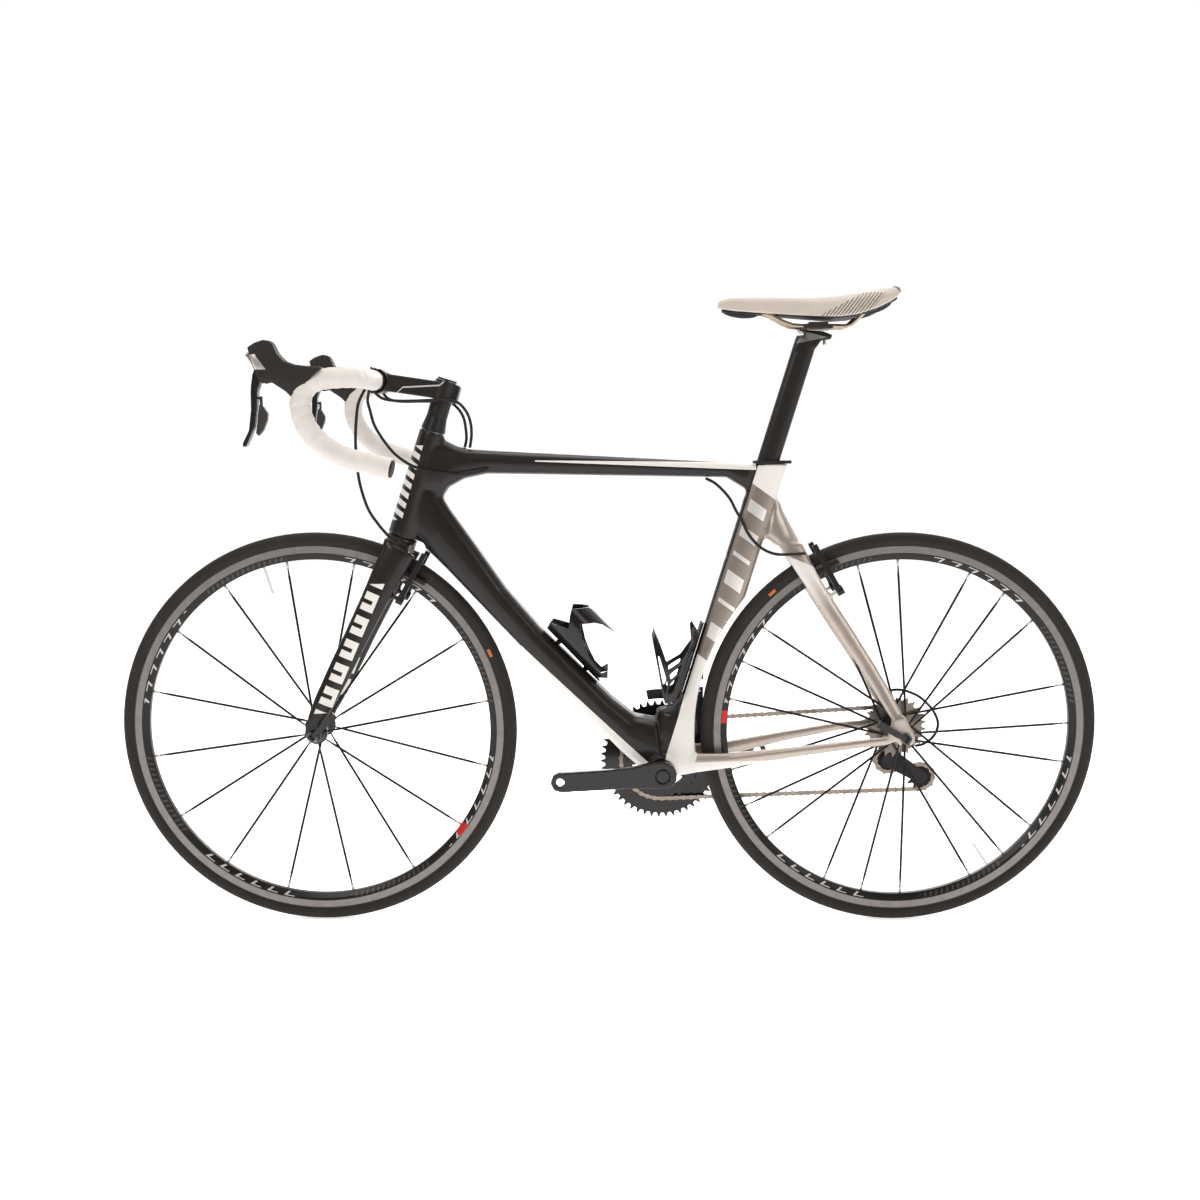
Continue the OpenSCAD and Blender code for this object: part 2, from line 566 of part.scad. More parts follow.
// Angle on wheel i at a distance t after the chain has met it
function wheel_angle(i, t) = let (w = wheels[i]) run_heading((i + 3) % 4) + 90 * w[2] - w[2] * t / w[1] * 180 / PI;
function chain_in(i, s) = let (w = wheels[i], t = s - start_of(i), a = arc_length(i))
    t <= a ? w[0] + w[1] * [cos(wheel_angle(i, t)), sin(wheel_angle(i, t))]
        : w[0] + w[1] * [cos(wheel_angle(i, a)), sin(wheel_angle(i, a))]
            + (t - a) * [cos(run_heading(i)), sin(run_heading(i))];
function chain_at(s) = s < start_of(1) ? chain_in(0, s) : s < start_of(2) ? chain_in(1, s)
    : s < start_of(3) ? chain_in(2, s) : chain_in(3, s);
// Angle of a tooth that stands between two rollers on wheel i
function tooth_angle(i) = let (k = round((start_of(i) + arc_length(i) / 2) / link_pitch - 0.5))
    wheel_angle(i, (k + 0.5) * link_pitch - start_of(i));

module sprocket(n, phase, y, thick, bore) {
    r = pitch_r(n);
    outline = [for (i = [0:n - 1], q = [[-0.3, -4.3], [-0.06, 3], [0.06, 3], [0.3, -4.3]])
        let (a = phase + 360 * (i + q[0]) / n) (r + q[1]) * [cos(a), sin(a)]];
    difference() {
        plate(outline, y - thick / 2, y + thick / 2);
        across([0, 0], -big, big, bore);
    }
}
module at_point(p) {
    translate([p[0], 0, p[1]]) children();
}
module link_plate(a, b, y, thick, r) {
    d = b - a;
    translate([a[0], y + thick, a[1]]) rotate([90, 0, 0]) rotate([0, 0, atan2(d[1], d[0])]) linear_extrude(thick)
        union() {
            circle(r = r, $fn = 16);
            translate([norm(d), 0]) circle(r = r, $fn = 16);
            translate([0, 0.3 - r + 0.8]) square([norm(d), 2 * (r - 1.1)]);
        }
}
module chain() color([0.55, 0.47, 0.38]) for (k = [0:link_count - 1]) {
    a = chain_at(k * link_pitch);
    b = chain_at(((k + 1) % link_count) * link_pitch);
    if (k % 2 == 0) {
        link_plate(a, b, chain_y + 1.95, 0.75, 4);
        link_plate(a, b, chain_y - 2.7, 0.75, 4);
        for (p = [a, b]) across(p, chain_y - 2, chain_y + 2, 1.6);
    } else difference() {
        union() {
            link_plate(a, b, chain_y + 1.1, 0.7, 4);
            link_plate(a, b, chain_y - 1.8, 0.7, 4);
            for (p = [a, b]) across(p, chain_y - 1.2, chain_y + 1.2, 3.7);
        }
        for (p = [a, b]) across(p, chain_y - 3, chain_y + 3, 1.75);
    }
}

module chainrings() color([0.05, 0.05, 0.05]) at_point(bb) {
    sprocket(small_ring_teeth, tooth_angle(0), chain_y, ring_thick, 50);
    sprocket(ring_teeth, tooth_angle(0), ring_y, ring_thick, 50);
    for (i = [0:4]) let (a = spider_angle + 72 * i, p = 55 * [cos(a), sin(a)]) {
        across(p, ring_y + ring_thick / 2, ring_y + ring_thick / 2 + 1.5, 4.5);
        across(p, chain_y - ring_thick / 2 - 1.5, chain_y - ring_thick / 2, 4.5);
    }
}
spider_angle = 40;
arm_outline = [[0, 24], [12, 21], [20, 13], [23.5, 3], [22, -9], [14, -18], [0, -21], [-60, -17.5],
    [-crank_length, -16.5], [-crank_length - 11, -12.5], [-crank_length - 16.5, 0], [-crank_length - 11, 12.5],
    [-crank_length, 16.5], [-90, 16.5], [-50, 18], [-20, 23]];
module arm_plate(y0, y1, a) {
    at_point(bb) rotate([0, -a, 0]) plate(arm_outline, y0, y1);
}
pedal_hole_r = 7.14;
function pedal_left() = bb + crank_length * [-cos(crank_drop_angle), -sin(crank_drop_angle)];
function pedal_right() = bb + crank_length * [cos(crank_drop_angle), sin(crank_drop_angle)];
module crank_arm_left() color([0.03, 0.03, 0.03]) difference() {
    union() {
        arm_plate(-crank_inside - crank_thick, -crank_inside, crank_drop_angle);
        across(bb, -crank_inside, -shell_half - 0.6, 17);
    }
    across(bb, -big, 0, spindle_r);
    across(pedal_left(), -big, 0, pedal_hole_r);
}
module crank_arm_right() color([0.03, 0.03, 0.03]) {
    difference() {
        union() {
            arm_plate(crank_inside, crank_inside + crank_thick, 180 + crank_drop_angle);
            across(bb, shell_half + 0.6, crank_inside, 17);
            at_point(bb) for (i = [0:4]) rotate([0, -spider_angle - 72 * i, 0]) {
                translate([0, shell_half + 1, -7]) cube([58, ring_y - ring_thick / 2 - shell_half - 1, 14]);
                across([55, 0], chain_y + ring_thick / 2, ring_y - ring_thick / 2, 8);
            }
        }
        across(pedal_right(), 0, big, pedal_hole_r);
        across(bb, 0, crank_inside + 5, spindle_r + running_gap);
    }
    across(bb, -crank_inside - crank_thick + 1, crank_inside + 5 - running_gap, spindle_r);
}

module cassette() color([0.5, 0.43, 0.36]) at_point(rear_hub) {
    for (i = [0:len(cog_list) - 1])
        sprocket(cog_list[i], tooth_angle(1), chain_y + (i - cog_index) * cog_step, 1.7, 16);
    difference() {
        union() {
            across([0, 0], 16.8, 59.3, 16);
            across([0, 0], 59.3, 61.3, 14);
        }
        across([0, 0], 0, 100, axle_r + running_gap);
    }
}

pulley_bolt_r = 2.2;
module pulley(p, i) color([0.03, 0.03, 0.03]) at_point(p)
    sprocket(pulley_teeth, tooth_angle(i), chain_y, 1.9, pulley_bolt_r + running_gap);
module guide_pulley_wheel() pulley(guide_pulley, 2);
module tension_pulley_wheel() pulley(tension_pulley, 3);

cage_pivot = guide_pulley + [9, 9];
cage_inner_y = chain_y - 5;
cage_outer_y = chain_y + 4;
function circle_points(p, r, a0, a1, n) = [for (i = [0:n]) let (a = a0 + (a1 - a0) * i / n) p + r * [cos(a), sin(a)]];
cage_lean = atan2((tension_pulley - guide_pulley)[1], (tension_pulley - guide_pulley)[0]);
cage_outline = concat(circle_points(guide_pulley, 12, cage_lean + 90, cage_lean + 270, 8),
    circle_points(tension_pulley, 11, cage_lean - 90, cage_lean + 90, 8), [cage_pivot + [7, 4], cage_pivot + [0, 7.5]]);
module derailleur_cage() color([0.04, 0.04, 0.04]) {
    difference() {
        union() {
            plate(cage_outline, cage_outer_y, cage_outer_y + 1.5);
            plate(cage_outline, cage_inner_y - 1.5, cage_inner_y);
        }
        across(cage_pivot, -big, big, 3.05);
    }
    for (p = [guide_pulley, tension_pulley]) {
        across(p, cage_inner_y, cage_outer_y, pulley_bolt_r);
        both = [[cage_inner_y, chain_y - 1.3], [chain_y + 1.3, cage_outer_y]];
        for (q = both) ring_across(p, q[0], q[1], 4.5, pulley_bolt_r);
    }
}
// Parallelogram of the rear derailleur: it carries the cage in and down
link_high = side(rear_hub + [27, -41], 68);
link_low = side(rear_hub + [2, -58], 62);
link_v = link_low - link_high;
link_slant = unit([0.1, -0.82, -0.56]);
link_axis = unit(cross(link_v, link_slant));
link_pin_r = 1.6;
link_plate_low = 9.3;
link_plate_high = 4.3;
module link_pins(p, r, extra = 0) {
    aim(p - (link_plate_low + extra) * link_axis, link_axis) cylinder(h = link_plate_low + 4 + 2 * extra, r = r);
}
module derailleur_links() color([0.05, 0.05, 0.05]) difference() {
    hull() for (p = [link_high, link_low])
        aim(p - link_plate_low * link_axis, link_axis) cylinder(h = link_plate_low - link_plate_high, r = 5.5, $fn = 24);
    for (p = [link_high, link_low]) link_pins(p, link_pin_r + running_gap, 2);
}
module derailleur_knuckle() color([0.05, 0.05, 0.05]) {
    aim(link_low - 4 * link_axis, link_axis) cylinder(h = 8, r = 4);
    link_pins(link_low, link_pin_r);
    across(cage_pivot, cage_outer_y + 1.8, cage_outer_y + 11, 8.5);
    across(cage_pivot, cage_outer_y - 1.2, cage_outer_y + 2, 3);
    rod(side(cage_pivot, cage_outer_y + 9), link_low, 3.4);
}
module rear_derailleur_body() color([0.05, 0.05, 0.05]) {
    across(hanger, drop_inside - 4, drop_inside + drop_thick + 8, 4.8);
    across(hanger, drop_inside + drop_thick + 0.3, drop_inside + drop_thick + 8, 9);
    rod(side(hanger + [5, -4], drop_inside + drop_thick + 6), link_high, 2.8);
    aim(link_high - 4 * link_axis, link_axis) cylinder(h = 8, r = 4);
    link_pins(link_high, link_pin_r);
    rod(side(rear_hub + [46, -46], 68.5), side(hanger + [5, 5], drop_inside + drop_thick + 4.5), 2.8);
}

// Front derailleur: a vertical link swings the cage outwards
fd_high = bb + [60, 148];
fd_low = bb + [60, 126];
fd_y = 32;
fd_low_y = 36;
fd_pin_r = 1.5;
module along_x(p, y, x0, x1, r) {
    translate([p[0] + x0, y, p[1]]) rotate([0, 90, 0]) cylinder(h = x1 - x0, r = r);
}
module front_derailleur_body() color([0.12, 0.12, 0.12]) {
    along_x(fd_high, fd_y, -12, 12, fd_pin_r);
    for (s = [-1, 1]) translate([fd_high[0] + (s > 0 ? 7 : -12), fd_y - 4, fd_high[1] - 4]) cube([5, 8, 14]);
    difference() {
        translate([fd_high[0] - 12, 10, fd_high[1] + 8]) cube([24, fd_y - 6, 6]);
        seat_shape();
    }
}
module front_derailleur_link() color([0.12, 0.12, 0.12]) difference() {
    hull() {
        along_x(fd_high, fd_y, -6.5, 6.5, 3.5, $fn = 24);
        along_x(fd_low, fd_low_y, -6.5, 6.5, 3.5, $fn = 24);
    }
    along_x(fd_high, fd_y, -20, 20, fd_pin_r + running_gap);
    along_x(fd_low, fd_low_y, -20, 20, fd_pin_r + running_gap);
}
cage_low_r = pitch_r(ring_teeth) + 6;
module cage_sector(a0, a1, r0, r1, y0, y1) {
    at_point(bb) plate(concat([for (a = [a0:4:a1]) r0 * [cos(a), sin(a)]], [for (a = [a1:-4:a0]) r1 * [cos(a), sin(a)]]), y0, y1);
}
module front_derailleur_cage() color([0.12, 0.12, 0.12]) {
    cage_sector(30, 102, cage_low_r, cage_low_r + 17, chain_y + 4.6, chain_y + 5.8);
    cage_sector(30, 74, cage_low_r - 14, cage_low_r + 17, chain_y - 5.6, chain_y - 4.4);
    cage_sector(62, 72, cage_low_r + 14, cage_low_r + 17, chain_y - 4.4, chain_y + 4.6);
    cage_sector(30, 34, cage_low_r + 12, cage_low_r + 17, chain_y - 4.4, chain_y + 4.6);
    along_x(fd_low, fd_low_y, -12, 12, fd_pin_r);
    for (s = [-1, 1]) translate([fd_low[0] + (s > 0 ? 7 : -12), fd_low_y - 3, fd_low[1] - 4]) cube([5, 5, 8]);
    translate([fd_low[0] - 12, fd_low_y - 3, fd_low[1] - 30]) cube([24, 3.5, 26]);
}

// ---------------------------------------------------------------- fork and headset
crown_s = head_low - 0.4;
function blade_point(t) = mix(head(head_low - 18, 4), front_hub + [2, 22], t);
blade_rings = [
    // place along the blade, middle behind the line, half depth, y, half thickness
    [0, 2, 27, 31, 10.5], [0.12, 0, 26, 33.5, 11], [0.3, 0, 22.5, 38, 10.5], [0.5, 0, 20.5, 43, 9.5],
    [0.7, 0, 20, 47.5, 8.5], [0.88, 0, 18, 51.5, 7.5], [1, 0, 14, 53.5, 5]];
blade_dir = unit(front_hub + [2, 22] - head(head_low - 18, 4));
blade_back = [-blade_dir[1], blade_dir[0]];
function blade_ring(q) = let (c = blade_point(q[0]) + q[1] * blade_back, n = 16)
    [for (i = [0:n - 1]) let (u = q[2] * power(cos(360 * i / n), 0.9), v = q[4] * power(sin(360 * i / n), 0.9))
        [c[0] + u * blade_back[0], q[3] + v, c[1] + u * blade_back[1]]];
fork_end_outline = concat(
    [for (a = [-180:20:0]) front_hub + 13 * [cos(a), sin(a)]],
    [front_hub + [14, 12], front_hub + [17, 28], front_hub + [-14, 24], front_hub + [-14, 8]]);
module fork() color([0.05, 0.045, 0.045]) {
    difference() {
        union() {
            on_head(head_low - 26) cylinder(h = 25.6, r1 = 24, r2 = 25);
            both_sides() loft([for (q = blade_rings) blade_ring(q)]);
            on_head(head_low - 24) translate([-24, -36, 0]) cube([43, 72, 16]);
            both_sides() plate(fork_end_outline, fork_inside, fork_inside + fork_end);
        }
        across(front_hub, -big, big, axle_r + running_gap);
        translate([front_hub[0] - axle_r - running_gap, -big / 2, front_hub[1] - 40])
            cube([2 * (axle_r + running_gap), big, 40]);
        both_sides() across(front_hub, 0, fork_inside, 24);
        across(front_hub, -16, 16, tyre_r + 5);
    }
    both_sides() brake_boss(front_brake, 8);
    on_head(head_low - 0.4) cylinder(h = 12, r = steerer_low_r);
    on_head(head_low + 11.6) cylinder(h = 30, r1 = steerer_low_r - 0.3, r2 = steerer_r);
    on_head(head_low + 41.6) cylinder(h = stem_low + stem_height - 3 - head_low - 41.6, r = steerer_r);
}
cover_height = 22;
module headset_spacers() color([0.05, 0.05, 0.05]) {
    thin = (spacer_stack - cover_height - 1.2) / 5;
    on_head(head_top + 0.6) difference() {
        cylinder(h = cover_height, r1 = 20.5, r2 = spacer_r);
        translate([0, 0, -1]) cylinder(h = cover_height + 2, r = steerer_r + running_gap);
    }
    for (i = [0:4]) on_head(head_top + 0.6 + cover_height + i * thin) difference() {
        union() {
            cylinder(h = thin - 1, r = spacer_r);
            cylinder(h = thin, r = spacer_r - 0.8);
        }
        translate([0, 0, -1]) cylinder(h = thin + 2, r = steerer_r + running_gap);
    }
    on_head(stem_low + stem_height) cylinder(h = 3, r = 16);
    on_head(stem_low + stem_height - 2.8) cylinder(h = 2.8, r = 3);
}

// ---------------------------------------------------------------- stem and bar
stem_mid = head(stem_low + stem_height / 2);
bar = stem_mid + stem_length * [-cos(stem_rise), sin(stem_rise)];
module stem_body() {
    at_point(stem_mid) rotate([0, -180 + stem_rise, 0]) rotate([90, 0, 0])
        translate([0, 0, -16]) linear_extrude(32) polygon([[0, 14], [stem_length - 20, 14], [stem_length - 4, 20],
            [stem_length, 20], [stem_length, -20], [stem_length - 4, -20], [stem_length - 20, -14], [0, -14]]);
    across(bar, -21, 21, 20.5);
}
face_angle = 180 + stem_rise - 2 * stem_rise;
module stem() color([0.08, 0.08, 0.085]) difference() {
    union() {
        on_head(stem_low) cylinder(h = stem_height, r = 18.5);
        on_head(stem_low + 2) translate([0, -13, 0]) cube([25, 26, stem_height - 4]);
        stem_body();
    }
    on_head(stem_low - 5) cylinder(h = stem_height + 10, r = steerer_r + running_gap);
    across(bar, -60, 60, bar_clamp_r + running_gap);
    beyond(bar - 0.5 * [cos(face_angle), sin(face_angle)], face_angle);
    on_head(stem_low - 5) translate([14, -0.8, 0]) cube([20, 1.6, stem_height + 10]);
}
module stem_faceplate() color([0.08, 0.08, 0.085]) {
    intersection() {
        ring_across(bar, -21, 21, 20.5, bar_clamp_r + running_gap);
        beyond(bar + 0.5 * [cos(face_angle), sin(face_angle)], face_angle);
    }
    for (y = [-14, 14], z = [-1, 1]) let (n = [cos(face_angle), sin(face_angle)], t = [-n[1], n[0]],
        p = bar + 19 * z * t + 8.5 * n) rod(side(p, y), side(p + 4 * n, y), 2.5);
}

bar_points = [[0, 0, 0], [0, -60, 0], [0, -bar_half_width + 62, 0], [-5, -bar_half_width + 36, 0],
    [-17, -bar_half_width + 17, -0.5], [-34, -bar_half_width + 7, -2], [-54, -bar_half_width + 3, -5],
    [-69, -bar_half_width + 1, -13], [-78, -bar_half_width, -26], [-81, -bar_half_width - 1, -42],
    [-78, -bar_half_width - 2, -61], [-68, -bar_half_width - 3, -81], [-52, -bar_half_width - 4, -98],
    [-30, -bar_half_width - 5, -113], [-4, -bar_half_width - 6, -123], [26, -bar_half_width - 7, -130.5],
    [53, -bar_half_width - 8, -136.5]];
function bar_place(p) = [bar[0], 0, bar[1]] + p;
drop_path = route([for (p = bar_points) bar_place(p)], 2);
bar_r = 12;
function bar_radius(p) = let (y = abs(p[1])) y < 28 ? bar_clamp_r : y < 50 ? mix(bar_clamp_r, bar_r, (y - 28) / 22) : bar_r;
bar_mid = [for (y = [-28, 0, 28]) bar_place([0, y, 0])];
bar_left = concat([for (y = [-28, -40, -50]) bar_place([0, y, 0])], [for (p = drop_path) if (p[1] < -59) p]);
module handlebar() color([0.1, 0.1, 0.1]) {
    full = concat(reversed([for (p = bar_left) [p[0], -p[1], p[2]]]), bar_left);
    hose(full, [for (p = full) bar_radius(p)], 2.4);
    both_sides() bar_plug();
}
module bar_plug() {
    e = drop_path[len(drop_path) - 1];
    t = unit(e - drop_path[len(drop_path) - 2]);
    aim(e - 14 * t, t) cylinder(h = 14, r = 9, $fn = 32);
    aim(e + 0.05 * t, t) cylinder(h = 3.5, r = 14, $fn = 32);
}
tape_path = concat([bar_place([0, -47, 0]), bar_place([0, -50, 0])], [for (p = drop_path) if (p[1] < -59) p]);
module bar_tape() color([0.88, 0.85, 0.81]) both_sides()
    hose(tape_path, [for (i = [0:len(tape_path) - 1]) i == 0 ? tape_r + 1.4 : i == 1 ? tape_r + 1.4 : tape_r],
        [for (i = [0:len(tape_path) - 1]) i < 2 ? tape_r + 0.8 - bar_radius(tape_path[i]) : tape_r - bar_r - 0.6]);

// Hoods and levers, given from the middle of the bar
lever_pivot = bar + [-135, 3];
hood_outline = [[-155, 42], [-145, 49], [-132, 53.5], [-122, 52], [-118, 48], [-112, 34], [-102, 23], [-88, 17.5],
    [-66, 15], [-46, 14], [-58, 0], [-70, -14], [-92, -31], [-101, -22], [-122, -8], [-135, -11], [-141, -4],
    [-146, 14]];
slot_outline = [[-175, 34], [-155.5, 41], [-135, 18], [-122, 8], [-122, -8], [-138, -30], [-175, -30]];
hood_half = 17;
lever_half = 8;
module lever_hoods() color([0.12, 0.1, 0.09]) both_sides() difference() {
    plate([for (q = hood_outline) bar + q], -bar_half_width - hood_half, -bar_half_width + hood_half);
    plate([for (q = slot_outline) bar + q], -bar_half_width - lever_half - 1.5, -bar_half_width + lever_half + 1.5);
    cord([for (p = drop_path) if (p[1] < -59) p], tape_r + seat_gap, 14);
    across(lever_pivot, -bar_half_width - 30, -bar_half_width + 30, 2.5 + running_gap);
}
lever_outline = [[-160, 31], [-156, 36], [-138, 16], [-130, 7], [-130, 0], [-137, -6], [-143, -20], [-144, -36],
    [-147, -54], [-150, -76], [-158, -94], [-163, -104], [-168, -104], [-168, -99], [-158, -80], [-154, -51],
    [-153, -16], [-150, 2], [-147, 10], [-153, 21]];
module lever_blade() color([0.03, 0.03, 0.03]) difference() {
    union() {
        plate([for (q = lever_outline) bar + q], -bar_half_width - lever_half, -bar_half_width + lever_half);
        across(lever_pivot, -bar_half_width - 16, -bar_half_width + 16, 2.5);
    }
    along_x(bar + [-160, -32], -bar_half_width, 0, 40, 1.55);
    plate([for (q = [[-120, -60], [-143, -40], [-145.5, -54], [-148, -74], [-150, -84], [-120, -84]]) bar + q],
        -bar_half_width - 3, -bar_half_width + 30);
}
paddle_outline = [[-142.6, -42], [-136, -45], [-130.5, -54], [-131.5, -64], [-138, -80], [-145, -88], [-149, -84],
    [-147.2, -74], [-144.7, -54]];
module paddle() color([0.28, 0.25, 0.24]) {
    plate([for (q = paddle_outline) bar + q], -bar_half_width - 2.5, -bar_half_width + lever_half);
    along_x(bar + [-160, -32], -bar_half_width, 8, 20, 1.5);
    translate([bar[0] - 141.5, -bar_half_width - 3, bar[1] - 46]) cube([4, 6, 17]);
}
module brake_lever_left() lever_blade();
module brake_lever_right() mirror([0, 1, 0]) lever_blade();
module shift_paddle_left() paddle();
module shift_paddle_right() mirror([0, 1, 0]) paddle();

// ---------------------------------------------------------------- rim brakes
// Each brake is [pivot, angle of the pivot's axis above the backward direction]
front_brake = [front_hub + [137.5, 229], -28.5];
rear_brake = [rear_hub + [-116, 236], 29.2];
boss_y = 33;
boss_r = 4;
module at_brake(b) {
    translate([b[0][0], 0, b[0][1]]) rotate([0, -b[1], 0]) children();
}
module brake_boss(b, depth) {
    at_brake(b) translate([-depth, -boss_y, 0]) rotate([0, 90, 0]) cylinder(h = depth + 16, r = boss_r);
}
arm_lean = 6.5;
pad_height = 41;
module brake_arm() {
    color([0.04, 0.04, 0.04]) difference() {
        union() {
            translate([3, -boss_y, 0]) rotate([0, 90, 0]) cylinder(h = 12, r = 8);
            translate([4, -boss_y, 0]) rotate([-arm_lean, 0, 0]) translate([0, -4, 0]) cube([9, 8, 86]);
        }
        translate([-30, -boss_y, 0]) rotate([0, 90, 0]) cylinder(h = 60, r = boss_r + running_gap);
    }
    color([0.3, 0.3, 0.3]) translate([7, 0, pad_height]) {
        translate([0, -24, 0]) rotate([-90, 0, 0]) cylinder(h = 4.5, r = 3);
        translate([-25, -19.5, -4]) cube([50, 6.9, 8]);
    }
}
module front_brake_arm_left() at_brake(front_brake) brake_arm();
module front_brake_arm_right() mirror([0, 1, 0]) at_brake(front_brake) brake_arm();
module rear_brake_arm_left() at_brake(rear_brake) brake_arm();
module rear_brake_arm_right() mirror([0, 1, 0]) at_brake(rear_brake) brake_arm();

// ---------------------------------------------------------------- cables, by their hand-set points
housing_r = 2.4;
front_brake_route = [[-389.5, -45.2, 905.4], [-391, -42.5, 903.5], [-402, -46, 880], [-406, -48, 852], [-408, -48, 820], [-407, -48, 790],
    [-403, -48, 752], [-391, -49, 712], [-375, -49, 686], [-356, -51, 664], [-338, -49, 645], [-322, -44, 632]];
rear_brake_front_route = [[-383.7, -45.2, 901.9], [-385, -42.5, 899.8], [-389, -36, 884], [-386, -33, 868], [-380, -31, 845], [-367, -29, 822],
    [-350, -28, 800], [-331, -28, 785], [-313, -28, 776], [-294, -28, 770], [-274, -27, 767], [-247, -26, 765],
    [-222, -25, 767], [-197, -22, 773]];
shift_left_route = [[-378.1, -45.2, 900.2], [-377.6, -42.5, 898.7], [-366, -33, 888], [-345, -26, 884], [-315, -24, 884], [-290, -24, 885],
    [-262, -23, 885], [-245, -17, 881], [-232, -11, 866], [-226, -8, 848], [-225, -7, 828], [-228, -7, 808]];
shift_right_route = [[-378.1, 45.2, 900.2], [-377.6, 42.5, 898.7], [-366, 33, 888], [-345, 26, 884], [-315, 24, 884], [-290, 24, 884],
    [-264, 23, 882], [-250, 17, 873], [-240, 11, 858], [-236, 8, 840], [-235, 7, 822], [-238, 7, 808.5]];
rear_brake_route = [[161, -6, 757.5], [178, -14, 748], [198, -21, 727], [210, -22, 705], [220, -22, 688],
    [230, -22, 668], [243, -23, 652], [257, -26, 641], [273, -31, 635], [291, -34, 634], [323, -35, 636]];
derailleur_route = [[474, 72.8, 377], [492, 73, 386], [515, 72.5, 386], [540, 72, 376], [557, 71, 362], [570, 71, 345],
    [576, 71, 328], [573, 71, 311], [563, 71, 298], [551, 70.3, 290.5], [537.2, 68.6, 287.6]];
module front_brake_cable() color([0.03, 0.03, 0.03]) cord(route(front_brake_route, 2), housing_r);
module front_loop_cables() color([0.03, 0.03, 0.03]) {
    cord(route(rear_brake_front_route, 2), housing_r);
    cord(route(shift_left_route, 2), housing_r);
    cord(route(shift_right_route, 2), housing_r);
}
module rear_cables() color([0.03, 0.03, 0.03]) {
    cord(route(rear_brake_route, 2), housing_r);
    cord(route(derailleur_route, 2), housing_r);
}

// ---------------------------------------------------------------- seatpost and saddle
rail_z = seat(post_head)[1] + 3;
saddle_mid = seat(post_head)[0] + 1;
clamp_bolt = [saddle_mid - 22, rail_z - 12];
module seatpost() color([0.06, 0.06, 0.06]) difference() {
    union() {
        on_seat(seat_top - post_insert, post_r) linear_extrude(post_insert + post_exposed - 22) post_section(0);
        plate([[saddle_mid - 30, rail_z - 28], [saddle_mid - 29, rail_z - 8], [saddle_mid - 22, rail_z - 5],
            [saddle_mid + 12, rail_z - 7], [saddle_mid + 28, rail_z - 13], [saddle_mid + 26, rail_z - 20],
            [saddle_mid + 10, rail_z - 22], [saddle_mid + 2, rail_z - 34], [saddle_mid - 34, rail_z - 34]], -10, 10);
    }
    across(clamp_bolt, -40, 40, 4);
}
rail_y = 22;
rail_r = 3.5;
module saddle_clamp() color([0.35, 0.35, 0.36]) {
    across(clamp_bolt, -13, 13, 3.95);
    difference() {
        union() {
            translate([saddle_mid - 22, -rail_y - 5, rail_z - 4.6]) cube([48, 2 * rail_y + 10, 7]);
            translate([saddle_mid - 14, -rail_y - 5, rail_z + 2.4]) cube([32, 2 * rail_y + 10, 4]);
        }
        for (y = [-rail_y, rail_y]) translate([saddle_mid - 60, y, rail_z]) rotate([0, 90, 0])
            cylinder(h = 120, r = rail_r + 0.05);
    }
    both_sides() translate([clamp_bolt[0] - 5, 10.2, clamp_bolt[1] - 5]) cube([10, 4, 12.2]);
}
rail_points = [[-98, 8, 24], [-88, 10, 22], [-72, 14, 17], [-54, 18, 7], [-40, 21, 1.5], [-26, rail_y, 0],
    [0, rail_y, 0], [30, rail_y, 0], [46, rail_y, -0.5], [56, rail_y + 1, 3], [66, rail_y + 5, 12], [78, rail_y + 12, 25]];
module saddle_rails() color([0.5, 0.4, 0.3]) both_sides()
    cord([for (p = rail_points) [saddle_mid + p[0], p[1], rail_z + p[2]]], rail_r, 12);
// Saddle stations: x, top, bottom of the cover's edge, half width
saddle_stations = [[-159, 38, 31, 9], [-152, 43.5, 29.5, 15.5], [-135, 46.5, 27.5, 19], [-105, 47, 25.5, 21],
    [-70, 47, 23, 24], [-35, 46.5, 20.5, 30], [0, 47.5, 18.5, 40], [30, 50, 17, 53], [60, 54, 20, 64],
    [90, 58.5, 29, 69], [110, 62.5, 38, 66], [124, 64, 46, 55], [131, 60, 53, 40]];
function saddle_ring(q, drop, n = 20) = [for (i = [0:n - 1]) let (a = 360 * i / n, c = cos(a), s = sin(a))
    [saddle_mid + q[0], q[3] * power(c, 0.8), rail_z + (s > 0 ? mix(q[2], q[1] - drop, power(s, 0.7)) : q[2])
        + (s < 0 ? 1.5 * s : 0)]];
module saddle_cover() color([0.85, 0.79, 0.72]) difference() {
    loft([for (q = saddle_stations) saddle_ring(q, 0)]);
    both_sides() cord([for (p = rail_points) [saddle_mid + p[0], p[1], rail_z + p[2]]], rail_r + 0.3, 12);
}
module saddle_base() color([0.05, 0.05, 0.05]) difference() {
    loft([for (q = saddle_stations) if (q[0] > -153 && q[0] < 125) let (t = rail_z + q[2] - 1.7)
        level_pair(saddle_mid + q[0], q[3] - 6, t, 4.5)]);
    both_sides() cord([for (p = rail_points) [saddle_mid + p[0], p[1], rail_z + p[2]]], rail_r + 0.3, 12);
    translate([saddle_mid - 24, -30, rail_z - 10]) cube([52, 60, 17]);
}
function level_pair(x, w, top, h) = [[x, -w, top], [x, -w * 0.5, top], [x, w * 0.5, top], [x, w, top],
    [x, w * 0.9, top - h], [x, w * 0.4, top - h], [x, -w * 0.4, top - h], [x, -w * 0.9, top - h]];

